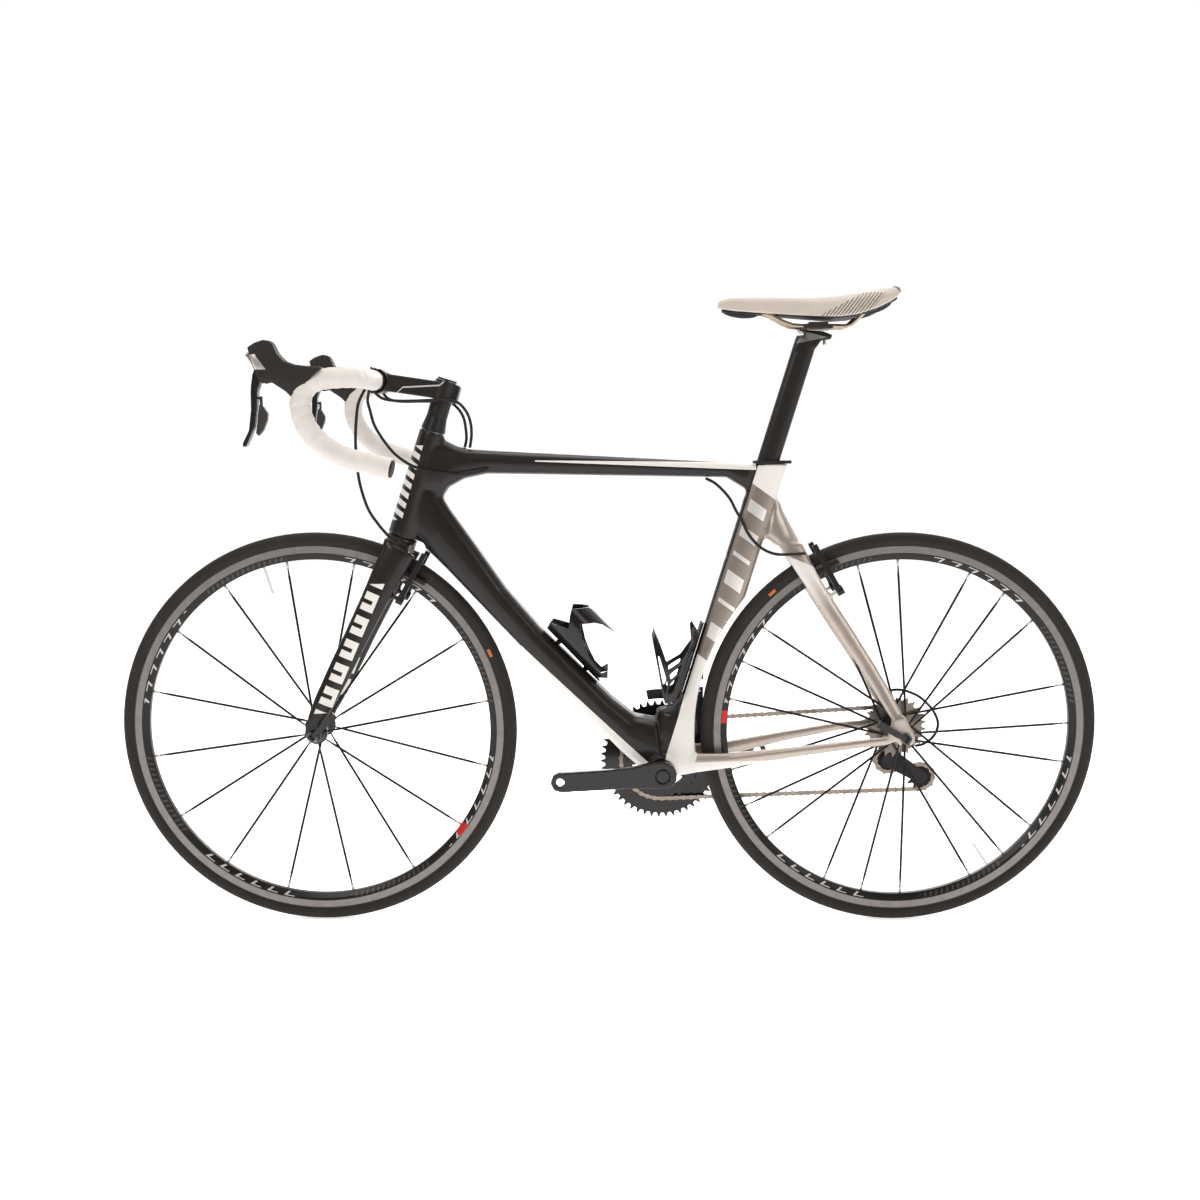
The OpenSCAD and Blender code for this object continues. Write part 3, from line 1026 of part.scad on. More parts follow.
head_tube();
top_tube();
down_tube();
seat_tube();
bb_shell();
chain_stays();
seat_stays();
frame_bearings();
seat_clamp();
front_bottle_cage();
rear_bottle_cage();
rear_axle();
chain();
front_loop_cables();
rear_cables();
front_derailleur_body();
rear_derailleur_body();
fork();
headset_spacers();
stem();
stem_faceplate();
handlebar();
bar_tape();
lever_hoods();
front_axle();
front_brake_cable();
tyre(front_hub);  // front_tyre
rim(front_hub, front_valve_angle);  // front_rim
front_spokes();
front_hub_shell();  // front_hub
tyre(rear_hub);  // rear_tyre
rim(rear_hub, rear_valve_angle);  // rear_rim
rear_spokes();
rear_hub_shell();  // rear_hub
cassette();
crank_arm_left();
crank_arm_right();
chainrings();
derailleur_links();
derailleur_knuckle();
derailleur_cage();
guide_pulley_wheel();  // guide_pulley
tension_pulley_wheel();  // tension_pulley
front_derailleur_link();
front_derailleur_cage();
front_brake_arm_left();
front_brake_arm_right();
rear_brake_arm_left();
rear_brake_arm_right();
brake_lever_left();
brake_lever_right();
shift_paddle_left();
shift_paddle_right();
seatpost();
saddle_clamp();
saddle_rails();
saddle_base();
saddle_cover();
front_qr_lever();
rear_qr_lever();
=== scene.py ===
# %% [markdown]
# # A road bicycle with an aero carbon frame
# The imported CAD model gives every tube, wheel and joint at its real place. This script keeps the
# parts whose shape is already right, and lays new skins over those that a maker would mould,
# wrap, sew or spray. All lengths below are in metres.

# %% Load the frame of parts
import bpy
import bmesh
import math
import numpy as np
from mathutils import Matrix, Vector


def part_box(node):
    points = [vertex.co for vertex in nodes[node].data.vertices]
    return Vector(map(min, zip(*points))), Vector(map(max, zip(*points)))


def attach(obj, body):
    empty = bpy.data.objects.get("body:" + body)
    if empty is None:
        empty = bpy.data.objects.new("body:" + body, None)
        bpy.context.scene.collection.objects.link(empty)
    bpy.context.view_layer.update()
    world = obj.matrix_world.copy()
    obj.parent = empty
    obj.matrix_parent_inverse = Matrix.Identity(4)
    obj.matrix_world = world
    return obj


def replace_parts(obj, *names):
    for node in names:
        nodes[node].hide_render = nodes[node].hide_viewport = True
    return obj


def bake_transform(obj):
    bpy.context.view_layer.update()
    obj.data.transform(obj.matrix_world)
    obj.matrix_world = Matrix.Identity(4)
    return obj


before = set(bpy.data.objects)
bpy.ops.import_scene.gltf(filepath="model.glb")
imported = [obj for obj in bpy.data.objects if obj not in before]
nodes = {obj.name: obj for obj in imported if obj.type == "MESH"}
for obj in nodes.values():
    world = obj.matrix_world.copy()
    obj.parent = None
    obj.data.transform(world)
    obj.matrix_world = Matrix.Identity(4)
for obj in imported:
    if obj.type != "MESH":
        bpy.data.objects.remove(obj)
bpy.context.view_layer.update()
MM = 0.001
print("parts loaded:", len(nodes))

# %% [markdown]
# ## Camera, light and floor
# A bicycle is drawn from its side, so the camera stands level with the saddle a little over two
# metres away and looks slightly down. Large soft lights keep the black paint readable, because a
# gloss surface shows only what it reflects. The room is white behind the bicycle and dark in front
# of it, so that the white ground doesn't wash the black out.

# %% Camera
EYE = (0.01266, -2.20081, 0.83873)
YAW, PITCH, ROLL = -0.0039, 0.1354, -0.0006
camera_data = bpy.data.cameras.new("camera")
camera_data.sensor_width = 36
camera_data.lens = 39.716
camera_data.shift_x = -0.00914
camera_data.shift_y = 0.00763
camera = bpy.data.objects.new("camera", camera_data)
bpy.context.collection.objects.link(camera)
forward = np.array([math.sin(YAW) * math.cos(PITCH), math.cos(YAW) * math.cos(PITCH), -math.sin(PITCH)])
level = np.array([math.cos(YAW), -math.sin(YAW), 0])
upright = np.cross(level, forward)
right = math.cos(ROLL) * level + math.sin(ROLL) * upright
upward = math.cos(ROLL) * upright - math.sin(ROLL) * level
turn = np.column_stack([right, upward, -forward])
camera.matrix_world = Matrix.Translation(EYE) @ Matrix(turn.tolist()).to_4x4()
bpy.context.scene.camera = camera
print("camera lens:", camera_data.lens)


# %% Lights and world
def soft_light(name, place, aim, size, watts):
    """A square lamp at place, turned so that its face looks at aim."""
    lamp_data = bpy.data.lights.new(name, "AREA")
    lamp_data.shape = "SQUARE"
    lamp_data.size = size
    lamp_data.energy = watts
    lamp_data.color = (1, 0.97, 0.94)
    lamp = bpy.data.objects.new(name, lamp_data)
    bpy.context.collection.objects.link(lamp)
    away = Vector(place) - Vector(aim)
    lamp.matrix_world = Matrix.Translation(place) @ away.to_track_quat("Z", "Y").to_matrix().to_4x4()
    return lamp


soft_light("key", (-1.8, -2.6, 2.6), (0, 0, 0.5), 1.6, 44)
soft_light("fill", (2.4, -2.2, 1.6), (0, 0, 0.5), 1.4, 21)
soft_light("top", (0.2, 0.1, 3.2), (0, 0, 0.5), 2.0, 46)
soft_light("back", (0.5, 2.8, 1.8), (0, 0, 0.6), 2.0, 38)
world = bpy.data.worlds.new("studio")
world.use_nodes = True
world_tree = world.node_tree
direction = world_tree.nodes.new("ShaderNodeTexCoord")
parted = world_tree.nodes.new("ShaderNodeSeparateXYZ")
level_node = world_tree.nodes.new("ShaderNodeMapRange")
level_node.interpolation_type = "SMOOTHSTEP"
for socket, value in zip(list(level_node.inputs)[1:5], (-0.35, 0.1, 0.11, 1.06)):
    socket.default_value = value
world_tree.links.new(direction.outputs["Generated"], parted.inputs[0])
world_tree.links.new(parted.outputs[1], level_node.inputs[0])
world_tree.links.new(level_node.outputs[0], world_tree.nodes["Background"].inputs["Strength"])
world_tree.nodes["Background"].inputs["Color"].default_value = (1, 1, 1, 1)
bpy.context.scene.world = world
bpy.context.scene.view_settings.view_transform = "Standard"

# %% [markdown]
# ## Small tools
# Most new skins are a ring of points carried along a path. The whole grid of points is worked out
# at once as an array, and the faces follow from the grid's rows and columns.


# %% Mesh from a grid of points
def mesh_object(name, points, faces, smooth=True):
    """A mesh object at the origin from an array of points and a list of faces."""
    mesh = bpy.data.meshes.new(name)
    mesh.from_pydata(np.asarray(points).reshape(-1, 3).tolist(), [], faces)
    mesh.validate()
    mesh.polygons.foreach_set("use_smooth", np.full(len(mesh.polygons), smooth))
    piece = bpy.data.objects.new(name, mesh)
    bpy.context.collection.objects.link(piece)
    return piece


def outward(piece):
    """Turns every face of a closed mesh to point outwards."""
    shape = bmesh.new()
    shape.from_mesh(piece.data)
    bmesh.ops.remove_doubles(shape, verts=shape.verts, dist=1e-6)
    bmesh.ops.recalc_face_normals(shape, faces=shape.faces)
    shape.to_mesh(piece.data)
    shape.free()
    return piece


def grid_faces(rows, columns, loop=False, start=0):
    """Four-sided faces between neighbouring points of a grid whose columns close on themselves.
    With loop the rows close too."""
    last = rows if loop else rows - 1
    row = np.repeat(np.arange(last), columns)
    column = np.tile(np.arange(columns), last)
    after = (row + 1) % rows
    beside = (column + 1) % columns
    corners = np.stack([row * columns + column, row * columns + beside,
                        after * columns + beside, after * columns + column], 1)
    return (corners + start).tolist()


def skin(name, rings, loop=False):
    """A closed surface through rings, an array of rows by points by 3. Its ends are capped flat
    unless the rows close into a loop."""
    rows, columns = rings.shape[:2]
    faces = grid_faces(rows, columns, loop)
    if not loop:
        faces.append(list(range(columns))[::-1])
        faces.append([(rows - 1) * columns + k for k in range(columns)])
    return outward(mesh_object(name, rings, faces))


def smooth_route(points, steps):
    """A Catmull-Rom curve through listed points with the given steps between neighbours."""
    p = np.asarray(points, float) * MM
    ends = np.vstack([p[:1], p, p[-1:]])
    a, b, c, d = ends[:-3], ends[1:-2], ends[2:-1], ends[3:]
    t = (np.arange(steps) / steps)[None, :, None]
    a, b, c, d = (q[:, None, :] for q in (a, b, c, d))
    curve = 0.5 * (2 * b + (c - a) * t + (2 * a - 5 * b + 4 * c - d) * t ** 2
                   + (3 * b - a - 3 * c + d) * t ** 3)
    return np.vstack([curve.reshape(-1, 3), p[-1:]])


def frames_along(path):
    """Unit heading and two unit directions across it at each point of a path. The first direction
    is carried along without twist, as the part of the one before that lies across the heading."""
    heading = np.gradient(path, axis=0)
    heading /= np.linalg.norm(heading, axis=1)[:, None]
    across = np.zeros_like(path)
    guess = np.cross(heading[0], (0.4, 0.6, 0.7))
    for k, h in enumerate(heading):
        guess = guess - h * np.dot(guess, h)
        guess /= np.linalg.norm(guess)
        across[k] = guess
    return heading, across, np.cross(heading, across)


def tube_rings(path, radius, sides):
    """Rings of the given radius across a path. Radius is a number, one per row, or one per point."""
    heading, across, beside = frames_along(path)
    angle = np.linspace(0, 2 * math.pi, sides, endpoint=False)
    radius = np.asarray(radius, float)
    radius = radius[:, None] if radius.ndim == 1 else radius
    radius = np.broadcast_to(radius, (len(path), sides))[:, :, None]
    wheel = (np.cos(angle)[None, :, None] * across[:, None, :]
             + np.sin(angle)[None, :, None] * beside[:, None, :])
    return path[:, None, :] + radius * wheel


# %% [markdown]
# ## Finishes
# Each finish is a small node tree. Paint edges are straight lines on the frame, so they are worked
# out from the position on the bicycle: a half plane is a position measured across a line, and a
# stripe is the product of several half planes.


# %% Node helper
class Finish:
    """A material on the standard surface shader, with short calls for its pattern nodes."""

    def __init__(self, name, colour, rough, metal=0.0, coat=0.0, sheen=0.0):
        self.material = bpy.data.materials.new(name)
        self.material.use_nodes = True
        self.tree = self.material.node_tree
        self.shader = self.tree.nodes["Principled BSDF"]
        self.shader.inputs["Base Color"].default_value = (*colour, 1)
        self.shader.inputs["Roughness"].default_value = rough
        self.shader.inputs["Metallic"].default_value = metal
        self.shader.inputs["Coat Weight"].default_value = 0.4 * coat
        self.shader.inputs["Specular IOR Level"].default_value = 0.25
        self.shader.inputs["Coat Roughness"].default_value = 0.12
        self.shader.inputs["Sheen Weight"].default_value = sheen
        self.place = self.tree.nodes.new("ShaderNodeTexCoord").outputs["Object"]
        split = self.tree.nodes.new("ShaderNodeSeparateXYZ")
        self.tree.links.new(self.place, split.inputs[0])
        self.x, self.y, self.z = split.outputs

    def put(self, socket, value):
        """Links a node's output to a socket, or sets a plain value on it."""
        if isinstance(value, bpy.types.NodeSocket):
            self.tree.links.new(value, socket)
        else:
            socket.default_value = value

    def math(self, kind, *values, clamp=False):
        """One Math node, such as ADD or LESS_THAN."""
        node = self.tree.nodes.new("ShaderNodeMath")
        node.operation = kind
        node.use_clamp = clamp
        for socket, value in zip(node.inputs, values):
            self.put(socket, value)
        return node.outputs[0]

    def both(self, *masks):
        """Where all the masks are one."""
        result = masks[0]
        for mask in masks[1:]:
            result = self.math("MULTIPLY", result, mask)
        return result

    def either(self, *masks):
        """Where any of the masks is one."""
        result = masks[0]
        for mask in masks[1:]:
            result = self.math("MAXIMUM", result, mask)
        return result

    def below(self, a, b):
        """One under the line through a and b, which are (x, z) in millimetres with a in front."""
        slope = (b[1] - a[1]) / (b[0] - a[0])
        edge = self.math("MULTIPLY_ADD", self.x, slope, (a[1] - slope * a[0]) * MM)
        return self.math("LESS_THAN", self.z, edge)

    def above(self, a, b):
        """One over the line through a and b."""
        return self.math("SUBTRACT", 1.0, self.below(a, b))

    def behind(self, a, b):
        """One on the rear side of the steep line through a and b, (x, z) in millimetres."""
        slope = (b[0] - a[0]) / (b[1] - a[1])
        edge = self.math("MULTIPLY_ADD", self.z, slope, (a[0] - slope * a[1]) * MM)
        return self.math("GREATER_THAN", self.x, edge)

    def ahead(self, a, b):
        """One on the front side of the steep line through a and b."""
        return self.math("SUBTRACT", 1.0, self.behind(a, b))

    def distance(self, centre):
        """Distance in metres from an axle at centre, (x, z) in metres, seen from the side."""
        dx = self.math("SUBTRACT", self.x, centre[0])
        dz = self.math("SUBTRACT", self.z, centre[1])
        square = self.math("MULTIPLY_ADD", dx, dx, self.math("MULTIPLY", dz, dz))
        return self.math("SQRT", square)

    def bearing(self, centre):
        """Angle about centre in turns, from -0.5 to 0.5, seen from the left side."""
        dx = self.math("SUBTRACT", self.x, centre[0])
        dz = self.math("SUBTRACT", self.z, centre[1])
        return self.math("DIVIDE", self.math("ARCTAN2", dz, dx), 2 * math.pi)

    def between(self, value, low, high):
        """One where low < value < high."""
        return self.both(self.math("GREATER_THAN", value, low), self.math("LESS_THAN", value, high))

    def noise(self, scale, detail=3.0, stretch=(1, 1, 1)):
        """Cloudy values from 0 to 1 on Object coordinates. Stretch thins the pattern along an axis."""
        mapping = self.tree.nodes.new("ShaderNodeMapping")
        mapping.inputs["Scale"].default_value = stretch
        self.tree.links.new(self.place, mapping.inputs["Vector"])
        node = self.tree.nodes.new("ShaderNodeTexNoise")
        node.inputs["Scale"].default_value = scale
        node.inputs["Detail"].default_value = detail
        self.tree.links.new(mapping.outputs[0], node.inputs["Vector"])
        return node.outputs[0]

    def blend(self, mask, low, high):
        """Colour low where mask is 0 and colour high where it is 1."""
        node = self.tree.nodes.new("ShaderNodeMix")
        node.data_type = "RGBA"
        self.put(node.inputs[0], mask)
        for socket, colour in ((node.inputs[6], low), (node.inputs[7], high)):
            self.put(socket, (*colour, 1) if isinstance(colour, tuple) else colour)
        return node.outputs[2]

    def spread(self, mask, low, high):
        """Stretches a value from 0..1 to low..high."""
        return self.math("MULTIPLY_ADD", mask, high - low, low)

    def colour(self, value):
        """Sets the surface colour."""
        self.put(self.shader.inputs["Base Color"], value)
        return self

    def rough(self, value):
        """Sets the roughness."""
        self.put(self.shader.inputs["Roughness"], value)
        return self

    def bump(self, height, strength, distance=0.0005):
        """Adds relief from a height value."""
        node = self.tree.nodes.new("ShaderNodeBump")
        node.inputs["Strength"].default_value = strength
        node.inputs["Distance"].default_value = distance
        self.put(node.inputs["Height"], height)
        self.tree.links.new(node.outputs[0], self.shader.inputs["Normal"])
        return self


def give(piece, finish):
    """Puts one finish on all of a piece."""
    piece.data.materials.clear()
    piece.data.materials.append(finish.material)
    return piece


def give_parts(finish, *names):
    """Puts one finish in every material slot of the named CAD parts."""
    for name in names:
        for holder in nodes[name].material_slots:
            holder.material = finish.material


# %% [markdown]
# ## Plain finishes
# Anodised, moulded and polished parts differ mostly in how sharply they reflect. Fine noise in the
# roughness breaks up each reflection as handling and casting do.


# %% Metals, plastics and rubber
def plain(name, colour, rough, metal=0.0, coat=0.0, scale=400, vary=0.08, relief=0.06):
    """A finish with small variations in roughness and colour, and a fine relief."""
    made = Finish(name, colour, rough, metal, coat)
    cloud = made.noise(scale)
    made.rough(made.spread(cloud, rough - vary, rough + vary))
    darker = tuple(c * 0.82 for c in colour)
    made.colour(made.blend(made.noise(60), darker, colour))
    made.bump(cloud, relief, 0.0002)
    return made


gloss_black = plain("gloss_black", (0.011, 0.0095, 0.0085), 0.22, 0.0, 0.7, 250, 0.05)
satin_black = plain("satin_black", (0.014, 0.012, 0.0105), 0.42, 0.0, 0.15)
matte_plastic = plain("matte_plastic", (0.013, 0.011, 0.0095), 0.6, 0, 0, 700, 0.08, 0.12)
polished_steel = plain("polished_steel", (0.62, 0.6, 0.58), 0.28, 1.0, 0, 300)
dark_steel = plain("dark_steel", (0.2, 0.19, 0.18), 0.35, 1.0, 0, 300)
clamp_black = plain("clamp_black", (0.06, 0.055, 0.052), 0.35, 0.7, 0, 300)
paddle_grey = plain("paddle_grey", (0.04, 0.036, 0.034), 0.4, 0.0, 0.2)
rail_bronze = plain("rail_bronze", (0.42, 0.34, 0.26), 0.3, 1.0, 0, 300)
print("plain finishes ready")

# %% [markdown]
# ## Cables
# Each cable is a black plastic housing about five millimetres thick. It is stiff, so it keeps the
# smooth bend that its two ends give it. The three that leave the bar for the frame would have to bend
# again when the bars turn; their skins stay where they are, fixed to neither body.


# %% Cable housings
FRONT_BRAKE = [(-389.5, -45.2, 905.4), (-391, -42.5, 903.5), (-402, -46, 880), (-406, -48, 852),
               (-408, -48, 820), (-407, -48, 790), (-403, -48, 752), (-391, -49, 712), (-375, -49, 686),
               (-356, -51, 664), (-338, -49, 645), (-322, -44, 632)]
REAR_BRAKE_FRONT = [(-383.7, -45.2, 901.9), (-385, -42.5, 899.8), (-389, -36, 884), (-386, -33, 868),
                    (-380, -31, 845), (-367, -29, 822), (-350, -28, 800), (-331, -28, 785), (-313, -28, 776),
                    (-294, -28, 770), (-274, -27, 767), (-247, -26, 765), (-222, -25, 767), (-197, -22, 773)]
SHIFT_LEFT = [(-378.1, -45.2, 900.2), (-377.6, -42.5, 898.7), (-366, -33, 888), (-345, -26, 884),
              (-315, -24, 884), (-290, -24, 885), (-262, -23, 885), (-245, -17, 881), (-232, -11, 866),
              (-226, -8, 848), (-225, -7, 828), (-228, -7, 808)]
SHIFT_RIGHT = [(-378.1, 45.2, 900.2), (-377.6, 42.5, 898.7), (-366, 33, 888), (-345, 26, 884),
               (-315, 24, 884), (-290, 24, 884), (-264, 23, 882), (-250, 17, 873), (-240, 11, 858),
               (-236, 8, 840), (-235, 7, 822), (-238, 7, 808.5)]
REAR_BRAKE = [(161, -6, 757.5), (178, -14, 748), (198, -21, 727), (210, -22, 705), (220, -22, 688),
              (230, -22, 668), (243, -23, 652), (257, -26, 641), (273, -31, 635), (291, -34, 634),
              (323, -35, 636)]
REAR_SHIFT = [(474, 72.8, 377), (492, 73, 386), (515, 72.5, 386), (540, 72, 376), (557, 71, 362),
              (570, 71, 345), (576, 71, 328), (573, 71, 311), (563, 71, 298), (551, 70.3, 290.5),
              (537.2, 68.6, 287.6)]
CABLE_R = 2.4 * MM


def cable(name, points, body, stands_for, far_body=None):
    """A housing along the given points. With far_body it stays where it is, fixed to neither
    body."""
    path = smooth_route(points, 6)
    piece = skin(name, tube_rings(path, CABLE_R, 14))
    give(piece, matte_plastic)
    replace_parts(piece, stands_for)
    if far_body:
        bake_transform(piece)
    else:
        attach(piece, body)
    return piece


cable("front_brake_housing", FRONT_BRAKE, "steering", "front_brake_cable")
for cable_name, route in (("rear_brake_housing_front", REAR_BRAKE_FRONT), ("shift_housing_left", SHIFT_LEFT),
                          ("shift_housing_right", SHIFT_RIGHT)):
    cable(cable_name, route, "frame", "front_loop_cables", "steering")
cable("rear_brake_housing", REAR_BRAKE, "frame", "rear_cables")
cable("rear_shift_housing", REAR_SHIFT, "frame", "rear_cables")

# %% [markdown]
# ## Moulded shells from the plain parts
# Carbon and cast parts have no sharp seams. A voxel remesh welds the plain tubes into one skin, and
# a few rounds of smoothing give the junctions the soft fillets that a mould leaves.


# %% Welding and rounding
def moulded(name, parts, voxel, rounds, finish, body, shape=None):
    """One skin round the named CAD parts: copies are joined, remeshed at voxel metres and smoothed
    rounds times. Shape may move the points, given and returned as an array."""
    joined = bmesh.new()
    for part in parts:
        joined.from_mesh(nodes[part].data)
    bmesh.ops.remove_doubles(joined, verts=joined.verts, dist=1e-6)
    raw = bpy.data.meshes.new(name + "_raw")
    joined.to_mesh(raw)
    joined.free()
    holder = bpy.data.objects.new(name + "_raw", raw)
    bpy.context.collection.objects.link(holder)
    weld = holder.modifiers.new("weld", "REMESH")
    weld.mode = "VOXEL"
    weld.voxel_size = voxel
    ease = holder.modifiers.new("ease", "SMOOTH")
    ease.iterations = rounds
    ease.factor = 0.5
    ready = holder.evaluated_get(bpy.context.evaluated_depsgraph_get())
    mesh = bpy.data.meshes.new_from_object(ready)
    mesh.name = name
    bpy.data.objects.remove(holder)
    points = np.empty(len(mesh.vertices) * 3)
    mesh.vertices.foreach_get("co", points)
    if shape is not None:
        mesh.vertices.foreach_set("co", shape(points.reshape(-1, 3)).ravel())
    mesh.polygons.foreach_set("use_smooth", np.ones(len(mesh.polygons), bool))
    piece = bpy.data.objects.new(name, mesh)
    bpy.context.collection.objects.link(piece)
    give(piece, finish)
    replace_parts(piece, *parts)
    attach(piece, body)
    print(name, "faces", len(mesh.polygons))
    return piece


# %% [markdown]
# ## Frame paint
# The front of the frame is satin black over a clear coat. The rear is silver with white panels, and
# a white stripe runs under the down tube and widens towards the cranks. A metallic silver has a fine
# sparkle, so a fine noise goes into its relief.

# %% Frame paint
BLACK = (0.013, 0.0105, 0.009)
SILVER = (0.46, 0.395, 0.345)
SHADE = (0.28, 0.235, 0.2)
WHITE = (0.75, 0.715, 0.68)
PALE = (0.74, 0.7, 0.665)
SEAT_BARS = ((868, 891), (818, 838), (779, 787), (722, 749), (684, 692), (612, 642))


def frame_paint():
    """Black front, silver rear and white panels, divided by lines on the side of the frame, and a painted
    highlight in white along the top tube.
    """
    made = Finish("frame_paint", BLACK, 0.36, 0.0, 0.45)
    stripe = made.both(made.below((-150, 484), (30, 318)), made.behind((-146, 470), (-146, 500)),
                       made.below((20, 345), (60, 305)))
    tube = made.both(made.behind((98, 300), (246, 778)), made.above((60, 262), (130, 262)))
    upper = made.above((150, 465), (166, 453))
    slant = made.math("MULTIPLY_ADD", made.x, 0.71, made.z)
    bars = made.either(*(made.between(slant, low * MM, high * MM) for low, high in SEAT_BARS))
    bars = made.both(bars, made.behind((103, 300), (251, 778)), made.ahead((136, 300), (284, 778)))
    panel = made.math("GREATER_THAN", slant, 0.918)
    shade = made.both(upper, made.ahead((147, 300), (295, 778)), made.below((230, 760), (262, 737)))
    stays = made.both(made.behind((296, 600), (296, 700)), made.below((290, 633), (330, 617)))
    stays = made.both(stays, made.math("MULTIPLY_ADD", made.z, 16, -8.7, clamp=True))
    lower_white = made.both(made.below((150, 284), (300, 292)), made.behind((95, 250), (110, 300)))
    # A white band along the top tube, widening towards the seat tube: painted highlight, in the white of the
    # panels.
    top_tube_highlight = made.both(made.below((-120, 787.5), (230, 784)), made.above((-120, 785.5), (230, 772)),
                         made.behind((-120, 700), (-120, 900)), made.ahead((243, 700), (243, 900)))
    head_steps = made.math("FRACT", made.math("MULTIPLY_ADD", slant, -52, 0.2))
    head_marks = made.both(made.ahead((-343, 680), (-304, 808)), made.between(made.z, 0.69, 0.812),
                           made.behind((-400, 600), (-340, 850)),
                           made.between(head_steps, 0.15, 0.7))
    colour = made.blend(tube, BLACK, SILVER)
    colour = made.blend(made.both(tube, shade), colour, SHADE)
    colour = made.blend(made.both(tube, bars), colour, PALE)
    low_panel = made.both(tube, made.math("SUBTRACT", 1.0, upper), made.ahead((150, 300), (206, 480)))
    white = made.either(stripe, head_marks, low_panel, lower_white, top_tube_highlight, made.both(tube, panel), stays)
    made.colour(made.blend(white, colour, WHITE))
    metal = made.both(tube, made.math("SUBTRACT", 1.0, white))
    made.put(made.shader.inputs["Metallic"], made.math("MULTIPLY", metal, 0.7))
    made.rough(made.spread(made.noise(45), 0.3, 0.42))
    made.bump(made.noise(1400, 2), 0.02, 0.0002)
    return made


FRAME_PARTS = ["head_tube", "top_tube", "down_tube", "seat_tube", "bb_shell", "chain_stays", "seat_stays"]
moulded("frame_shell", FRAME_PARTS, 2.4 * MM, 14, frame_paint(), "frame")


# %% Fork paint
def fork_paint():
    """Satin black with slanted white blocks down the outer faces of the blades."""
    made = Finish("fork_paint", BLACK, 0.34, 0.0, 0.45)
    along = made.math("MULTIPLY_ADD", made.x, 0.43, made.z)
    steps = made.math("FRACT", made.math("MULTIPLY_ADD", along, 21.5, 0.1))
    slot = made.both(made.between(steps, 0.36, 0.52), made.ahead((-468, 372), (-368, 600)))
    panel = made.both(made.between(steps, 0.08, 0.82), made.math("SUBTRACT", 1.0, slot),
                      made.below((-500, 585), (-300, 588)), made.above((-500, 372), (-300, 378)),
                      made.behind((-487, 372), (-385, 600)),
                      made.ahead((-461, 372), (-361, 600)),
                      made.math("GREATER_THAN", made.math("ABSOLUTE", made.y), 0.03))
    made.colour(made.blend(panel, BLACK, WHITE))
    made.rough(made.spread(made.noise(45), 0.28, 0.4))
    made.bump(made.noise(1400, 2), 0.02, 0.0002)
    return made


moulded("fork_shell", ["fork"], 2.2 * MM, 10, fork_paint(), "steering")

# %% [markdown]
# ## Wheels
# A clincher rim has a bare machined brake track that the pads polish, and a painted inner band. The
# tyre is a dull black with a thin lighter line by the rim. Both patterns are rings, so they follow
# the distance from the axle.

# %% Rims and tyres
FRONT_HUB = (-0.4895, 0.334)
REAR_HUB = (0.4895, 0.334)


def rim_finish(name, hub, red_at):
    """Machined track outside, black band inside with dark hatching and pale strokes by turns, one red
    mark, and a pale valve and nipple seats."""
    made = Finish(name, (0.3, 0.28, 0.27), 0.35, 0.7)
    far = made.distance(hub)
    turn_part = made.bearing(hub)
    track = made.math("GREATER_THAN", far, 0.3005)
    teeth = made.math("FRACT", made.math("MULTIPLY_ADD", far, 45, made.math("MULTIPLY", turn_part, 190)))
    sector = made.math("FRACT", made.math("MULTIPLY", turn_part, 4))
    marks = made.both(made.between(sector, 0.1, 0.42), made.between(teeth, 0.25, 0.6),
                      made.between(far, 0.2915, 0.2985))
    strokes = made.math("FRACT", made.math("MULTIPLY_ADD", far, 30, made.math("MULTIPLY", turn_part, 62)))
    bars = made.both(made.between(sector, 0.52, 0.9), made.between(far, 0.2912, 0.2982),
                     made.either(made.between(strokes, 0.1, 0.24), made.both(made.between(strokes, 0.1, 0.7),
                                 made.between(far, 0.2968, 0.2982))))
    near_red = made.between(made.math("SUBTRACT", turn_part, red_at), -0.006, 0.006)
    red = made.both(near_red, made.between(far, 0.287, 0.3))
    grooves = made.math("SINE", made.math("MULTIPLY", far, 9000))
    band = made.blend(marks, (0.012, 0.011, 0.01), (0.055, 0.05, 0.047))
    band = made.blend(bars, band, (0.5, 0.47, 0.45))
    band = made.blend(red, band, (0.5, 0.02, 0.015))
    band = made.blend(made.math("LESS_THAN", far, 0.2886), band, (0.7, 0.66, 0.62))
    metal_tone = made.blend(made.noise(90), (0.17, 0.155, 0.145), (0.27, 0.25, 0.24))
    made.colour(made.blend(track, band, metal_tone))
    made.rough(made.spread(track, 0.3, 0.42))
    made.put(made.shader.inputs["Metallic"], made.spread(track, 0.0, 0.75))
    made.bump(made.both(grooves, track), 0.08, 0.0001)
    return made


give_parts(rim_finish("front_rim_finish", FRONT_HUB, -0.1), "front_rim")
give_parts(rim_finish("rear_rim_finish", REAR_HUB, 0.488), "rear_rim")


def tyre_finish(name, hub, mark):
    """Dull black rubber with a fine line near the rim, faint side wear and one small orange mark."""
    made = Finish(name, (0.02, 0.018, 0.016), 0.7)
    far = made.distance(hub)
    turn_part = made.bearing(hub)
    line = made.between(far, 0.3128, 0.3142)
    patch = made.both(made.between(far, 0.316, 0.3215),
                      made.between(made.math("SUBTRACT", turn_part, mark), -0.0035, 0.0035))
    worn = made.blend(made.noise(35), (0.013, 0.0105, 0.009), (0.024, 0.02, 0.017))
    worn = made.blend(line, worn, (0.07, 0.062, 0.055))
    made.colour(made.blend(patch, worn, (0.45, 0.13, 0.03)))
    made.rough(made.spread(made.noise(200), 0.6, 0.8))
    made.bump(made.noise(1500), 0.2, 0.0003)
    return made


give_parts(tyre_finish("front_tyre_finish", FRONT_HUB, 0.068), "front_tyre")
give_parts(tyre_finish("rear_tyre_finish", REAR_HUB, 0.369), "rear_tyre")


